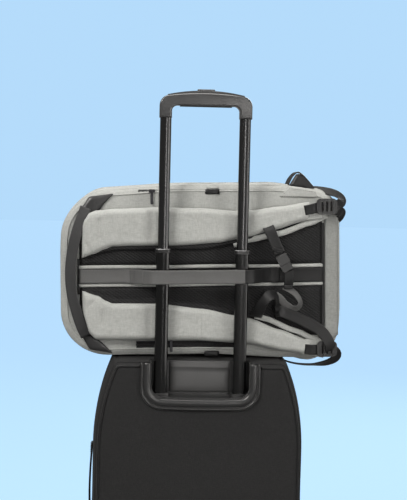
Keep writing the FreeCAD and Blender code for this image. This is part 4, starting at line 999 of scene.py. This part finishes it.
case_cloth = lined("case_cloth", CASE_PROFILE, case_rings(CASE_PROFILE, soften_case),
                   range(CASE_LINING, len(CASE_PROFILE)), CASE_CLOTH, "case",
                   ["case_back_panel", "case_side_gusset_left", "case_side_gusset_right", "case_top_gusset",
                    "case_bottom_gusset"])
RECESS_BOX = ((-89.8, -140, 480.2), (89.8, -73, 560))
WHEEL_BOXES = [((x - 18.6, -140, 10), (x + 18.6, -44.4, 100.6)) for x in (-150, 150)]
cut_boxes(case_cloth, [RECESS_BOX] + WHEEL_BOXES)
# the cut leaves flat-shaded walls, so the cloth is smoothed by angle again
case_cloth.data.shade_smooth()
sharp = case_cloth.modifiers.new("edges", "EDGE_SPLIT")
sharp.split_angle = math.radians(42)


def case_line(name, inset, y, section, material=CASE_CLOTH, body="case", outward=None,
              replaces=(), gap=0):
    """A line sewn round the case. A gap leaves it open over the mouth of the handle's recess."""
    ring = case_outline(inset)
    if gap:
        half = [(x, z) for x, z in ring[:len(ring) // 2 + 1] if z < 500 or x > gap + 4]
        half.append((gap, CASE_TOP - inset))
        ring = [(-x, z) for x, z in reversed(half[1:])] + half
    else:
        ring = ring[::2]
    path = smooth_path([Vector((x, y, z)) for x, z in ring], 5.0, closed=not gap)
    out = outward or ring_out(path, CASE_MIDDLE)
    return sweep(name, path, section, material, body, out, closed=not gap, replaces=replaces)


case_line("case_piping_back", 8.2, -112.6, round_section(2.7, 12), BINDING, outward=OUT, gap=107)
case_line("case_piping_seam", 2.6, -99.5, round_section(1.0, 12), BINDING, gap=91)
case_line("case_zip_tape", -0.2, 72.5, strap_section(5.0, 0.8, 0.05), TAPE,
          replaces=["case_zip_chain"])
teeth = smooth_path([Vector((x, 72.5, z)) for x, z in case_outline(-0.6)][::2], 2.6, closed=True)
coil("case_zip_coil", teeth, ring_out(teeth, CASE_MIDDLE), "case", 3.4, 0.9, 2.4, closed=True)
case_line("case_zip_welt", 0.6, 67.5, round_section(1.5, 12))

LID_PROFILE = [(150, 98.8), (60, 98.8), (14, 98.6), (7, 95), (7, 86), (7, 76)]
LID_LINED = len(LID_PROFILE) - 1
LID_PROFILE += [(4, 75.9), (1.5, 78), (0, 82), (0, 88), (0.5, 93), (2.5, 98), (6, 101.5), (10, 102.8)]
LID_PROFILE += [(i, 103) for i in (16, 30, 52, 80, 112, 150)]


def soften_lid(p, inset):
    """The lid's face swells a little round its pocket, and stays flat under it."""
    under_pocket = abs(p.x) < 140 and 70 < p.z < 430
    if under_pocket or (p.y < 99.5 and inset > 6.5):
        return p
    full = min(1.0, max(0.0, (inset - 14) / 40))
    return p + FORWARD * min((3.0 + ripple(p, 80, 5.0) * 0.8) * full, 3.6)


lined("case_lid_cloth", LID_PROFILE, case_rings(LID_PROFILE, soften_lid), range(LID_LINED), CASE_CLOTH, "lid",
      ["case_lid"])
case_line("lid_piping", 6.0, 101.6, round_section(2.6, 12), BINDING, body="lid", outward=FORWARD)
case_line("lid_welt", 1.0, 81.0, round_section(1.4, 12), body="lid")

POCKET_PROFILE = [(4, 103.4), (0.5, 103.6), (0, 106), (0, 112), (0.8, 116), (3, 119)]
POCKET_PROFILE += [(i, 120) for i in (7, 16, 30, 50, 75, 100, 126)]
POCKET_ZIP_Z = 391


def pocket_outline(inset):
    return rounded_outline(inset, (-135, 75, 135, 425), (28, 28, 28, 28), 8, (16, 20))


points = []
for inset, y in POCKET_PROFILE:
    for x, z in pocket_outline(inset):
        full = min(1.0, inset / 60) * min(1.0, max(0.0, (352 - z) / 60))
        rise = 5.0 * full + ripple((x, y, z), 70, 7.0) * 1.6 * full
        points.append(Vector((x, y + rise, z)))
faces = rings_to_faces(len(POCKET_PROFILE), len(pocket_outline(0)))
pocket = add_piece("lid_pocket_cloth", points, faces, [CASE_CLOTH], "lid",
                   replaces=["lid_pocket"])
pocket_edge = smooth_path([Vector((x, 118.4, z)) for x, z in pocket_outline(1.5)][::2], 5, closed=True)
sweep("pocket_piping", pocket_edge, round_section(1.8, 12), BINDING, "lid", FORWARD,
      closed=True)
zip_line = [Vector((-128 + 256 * k / 32, 119.6, POCKET_ZIP_Z)) for k in range(33)]
sweep("pocket_zip_tape", zip_line, strap_section(11, 0.5, 0.0), TAPE, "lid", FORWARD)
coil("pocket_zip_coil", smooth_path(zip_line, 2.6), FORWARD, "lid", 3.4, 0.6, 2.4)
pocket_rows = [[Vector((x, 120.3, POCKET_ZIP_Z + s)) for x in (-127, 127)] for s in (-8.5, 8.5)]
stitches("pocket_stitching", pocket_rows, THREAD_DARK, "lid", FORWARD)


def upright(x, y, z):
    """The case stands straight, so its points need no tilt."""
    return Vector((x, y, z))


SIDE = Vector((-1, 0, 0))
strap("case_side_handle_web", [(x, -20, z) for x, z in (
    (-190.4, 214), (-191.0, 232), (-192.6, 262), (-193.4, 298), (-192.6, 334), (-191.0, 364), (-190.4, 382))],
      28, 3.0, SIDE, body="case", replaces=["case_side_handle"], frame_of=upright)
strap("case_top_handle_web", [(x, 20, z) for x, z in (
    (-72, 545.2), (-50, 545.6), (-20, 546.2), (20, 546.2), (50, 545.6), (72, 545.2))],
      26, 1.6, UP, body="case", replaces=["case_top_handle"], frame_of=upright)
# a sewn box with a cross in it at each end of the side handle
for end_name, z in (("left", 223), ("right", 373)):
    box = [Vector((-194.3, -20 + a, z + b)) for a, b in ((-11, -7), (11, -7), (11, 7), (-11, 7))]
    rows = [box + box[:1], [box[0], box[2]], [box[3], box[1]]]
    stitches(f"side_handle_stitching_{end_name}", rows, body="case", outward=SIDE)

# ---- the handle's trim ------------------------------------------------------------------------

SPRING_R, SPRING_FOOT, SPRING_TOP, SPRING_TURNS = 2.6, 1000.5, 1005.4, 3
helix = []
for k in range(24 * SPRING_TURNS + 1):
    turn = math.tau * k / 24
    z = SPRING_FOOT + (SPRING_TOP - SPRING_FOOT) * k / (24 * SPRING_TURNS)
    helix.append(Vector((SPRING_R * math.cos(turn), TUBE_Y + SPRING_R * math.sin(turn), z)))
coiled = sweep("button_spring_coil", helix, round_section(0.5, 8), STEEL, "handle_top_stage", UP,
               replaces=["button_spring"])
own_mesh(coiled)


def bezel_line(half, low, radius, y):
    """A U round the recess's mouth, its foot a little bowed."""
    side = [(half, 544.0), (half, 520.0), (half, low + radius + 4)]
    side += [(half - radius + radius * math.cos(a), low + radius - radius * math.sin(a))
             for a in (0.3, 0.6, 0.9, 1.2, 1.45)]
    side += [(half * 0.5, low - 0.8), (half * 0.25, low - 1.2)]
    return [Vector((x, y, z)) for x, z in side + [(0, low - 1.3)] + [(-x, z) for x, z in reversed(side)]]


lip = smooth_path(bezel_line(104.2, 464.0, 36, -118.4), 3.0)
sweep("bezel_lip", lip, round_section(2.3, 12), CASE_PLASTIC, "case")
roll = smooth_path(bezel_line(94.4, 474.0, 28, -117.6), 3.0)
sweep("bezel_roll", roll, round_section(6.6, 16, 4.6), CASE_PLASTIC, "case")

# the panel at the back of the recess, as (z, y) up its face, with a ridge near its top
PANEL_RINGS = 23
PANEL = [(487, -76.1), (488, -77.6), (491, -79.0), (500, -79.6), (511, -79.4), (522, -78.8), (530, -77.8),
         (531, -78.6), (533, -78.8), (535, -77.6), (538, -76.8), (543, -76.1)]
points = []
for k in range(PANEL_RINGS):
    x = -55.0 + 5.0 * k
    edge = min(1.0, (55.5 - abs(x)) / 8)
    points += [Vector((x, -76.0 + (y + 76.0) * edge, z)) for z, y in PANEL]
    points += [Vector((x, -75.8, 543)), Vector((x, -75.8, 487))]
# the panel takes the lighter copy of the housing plastic, painted light
add_piece("recess_panel", points, rings_to_faces(PANEL_RINGS, len(PANEL) + 2), [RECESS_PLASTIC_LIT], "case")

COLLAR_TOP = 743.8
for side_name, side_x in (("left", -TUBE_X), ("right", TUBE_X)):
    outline = rounded_outline(0, (-12.6, -7.6, 12.6, 7.6), (6, 6, 6, 6), 5, (3, 2))
    ring = [Vector((side_x + x, TUBE_Y + y, COLLAR_TOP)) for x, y in outline]
    sweep(f"collar_ring_{side_name}", ring, round_section(0.75, 8), SILVER,
          "handle_middle_stage", UP, closed=True)

# ---- stage -----------------------------------------------------------------------------------

STAGE_COLOUR = (0.475, 0.735, 1.0)
FLOOR_GLOW, FLOOR_ALBEDO, BACKDROP_GLOW = 0.955, 0.14, 0.965
STAGE_RADIUS, SPOKES, LEVELS = 24, 72, 8


def stage_piece(name, points, faces, glow, albedo):
    """A pale floor or backdrop: it glows evenly to the camera, and lights nothing."""
    f = Finish(name, tuple(c * albedo for c in STAGE_COLOUR), 0.9, Emission_Strength=glow)
    f.shader.inputs["Emission Color"].default_value = (*STAGE_COLOUR, 1)
    f.tint([(f.noise(f.place, 0.4), 0.99, 1.01)])
    mesh = bpy.data.meshes.new(name)
    mesh.from_pydata(points, [], faces)
    mesh.materials.append(f.material)
    made = bpy.data.objects.new(name, mesh)
    scene.collection.objects.link(made)
    made.visible_diffuse = False
    made.visible_glossy = False
    return made


rim = [(STAGE_RADIUS * math.cos(math.tau * k / SPOKES), STAGE_RADIUS * math.sin(math.tau * k / SPOKES))
       for k in range(SPOKES)]
stage_piece("floor", [(x, y, 0) for x, y in rim], [tuple(range(SPOKES))], FLOOR_GLOW, FLOOR_ALBEDO)
dome, dome_faces = [], []
for level in range(LEVELS + 1):
    a = math.pi / 2 * level / LEVELS
    reach = max(math.cos(a), 0.001)
    dome += [(x * reach, y * reach, STAGE_RADIUS * math.sin(a)) for x, y in rim]
for level in range(LEVELS):
    for k in range(SPOKES):
        a, b = level * SPOKES + k, level * SPOKES + (k + 1) % SPOKES
        dome_faces.append((a, b, b + SPOKES, a + SPOKES))
backdrop = stage_piece("backdrop", dome, dome_faces, BACKDROP_GLOW, 0.0)
backdrop.visible_shadow = False


def softbox(name, place, target, size, power, colour=(1, 1, 1)):
    data = bpy.data.lights.new(name, "AREA")
    data.shape = "RECTANGLE"
    data.size, data.size_y = size
    data.energy = power
    data.color = colour
    lamp = bpy.data.objects.new(name, data)
    scene.collection.objects.link(lamp)
    lamp.location = place
    lamp.rotation_euler = (Vector(target) - Vector(place)).to_track_quat("-Z", "Y").to_euler()


WARM = (1.0, 0.975, 0.94)
softbox("key", (-1.9, -2.2, 2.6), (0, 0, 0.75), (1.2, 1.2), 74, WARM)
softbox("fill", (1.9, -2.4, 1.0), (0, 0, 0.7), (0.5, 1.6), 5, WARM)
softbox("tall", (0.40, -2.4, 1.0), (0, 0, 0.85), (0.14, 1.6), 9, WARM)
softbox("strip", (1.5, -1.35, 1.1), (0, 0, 0.85), (0.6, 1.8), 14, WARM)
softbox("top", (-0.3, 0.0, 2.8), (0, 0, 0.8), (1.4, 1.4), 34, WARM)
softbox("rear", (1.2, 2.6, 2.0), (0, 0, 0.7), (1.6, 1.6), 40)
world = bpy.data.worlds.new("studio")
scene.world = world
world.use_nodes = True
world.node_tree.nodes["Background"].inputs["Color"].default_value = (1.0, 0.99, 0.97, 1)
world.node_tree.nodes["Background"].inputs["Strength"].default_value = 0.2
scene.view_settings.view_transform = "Standard"
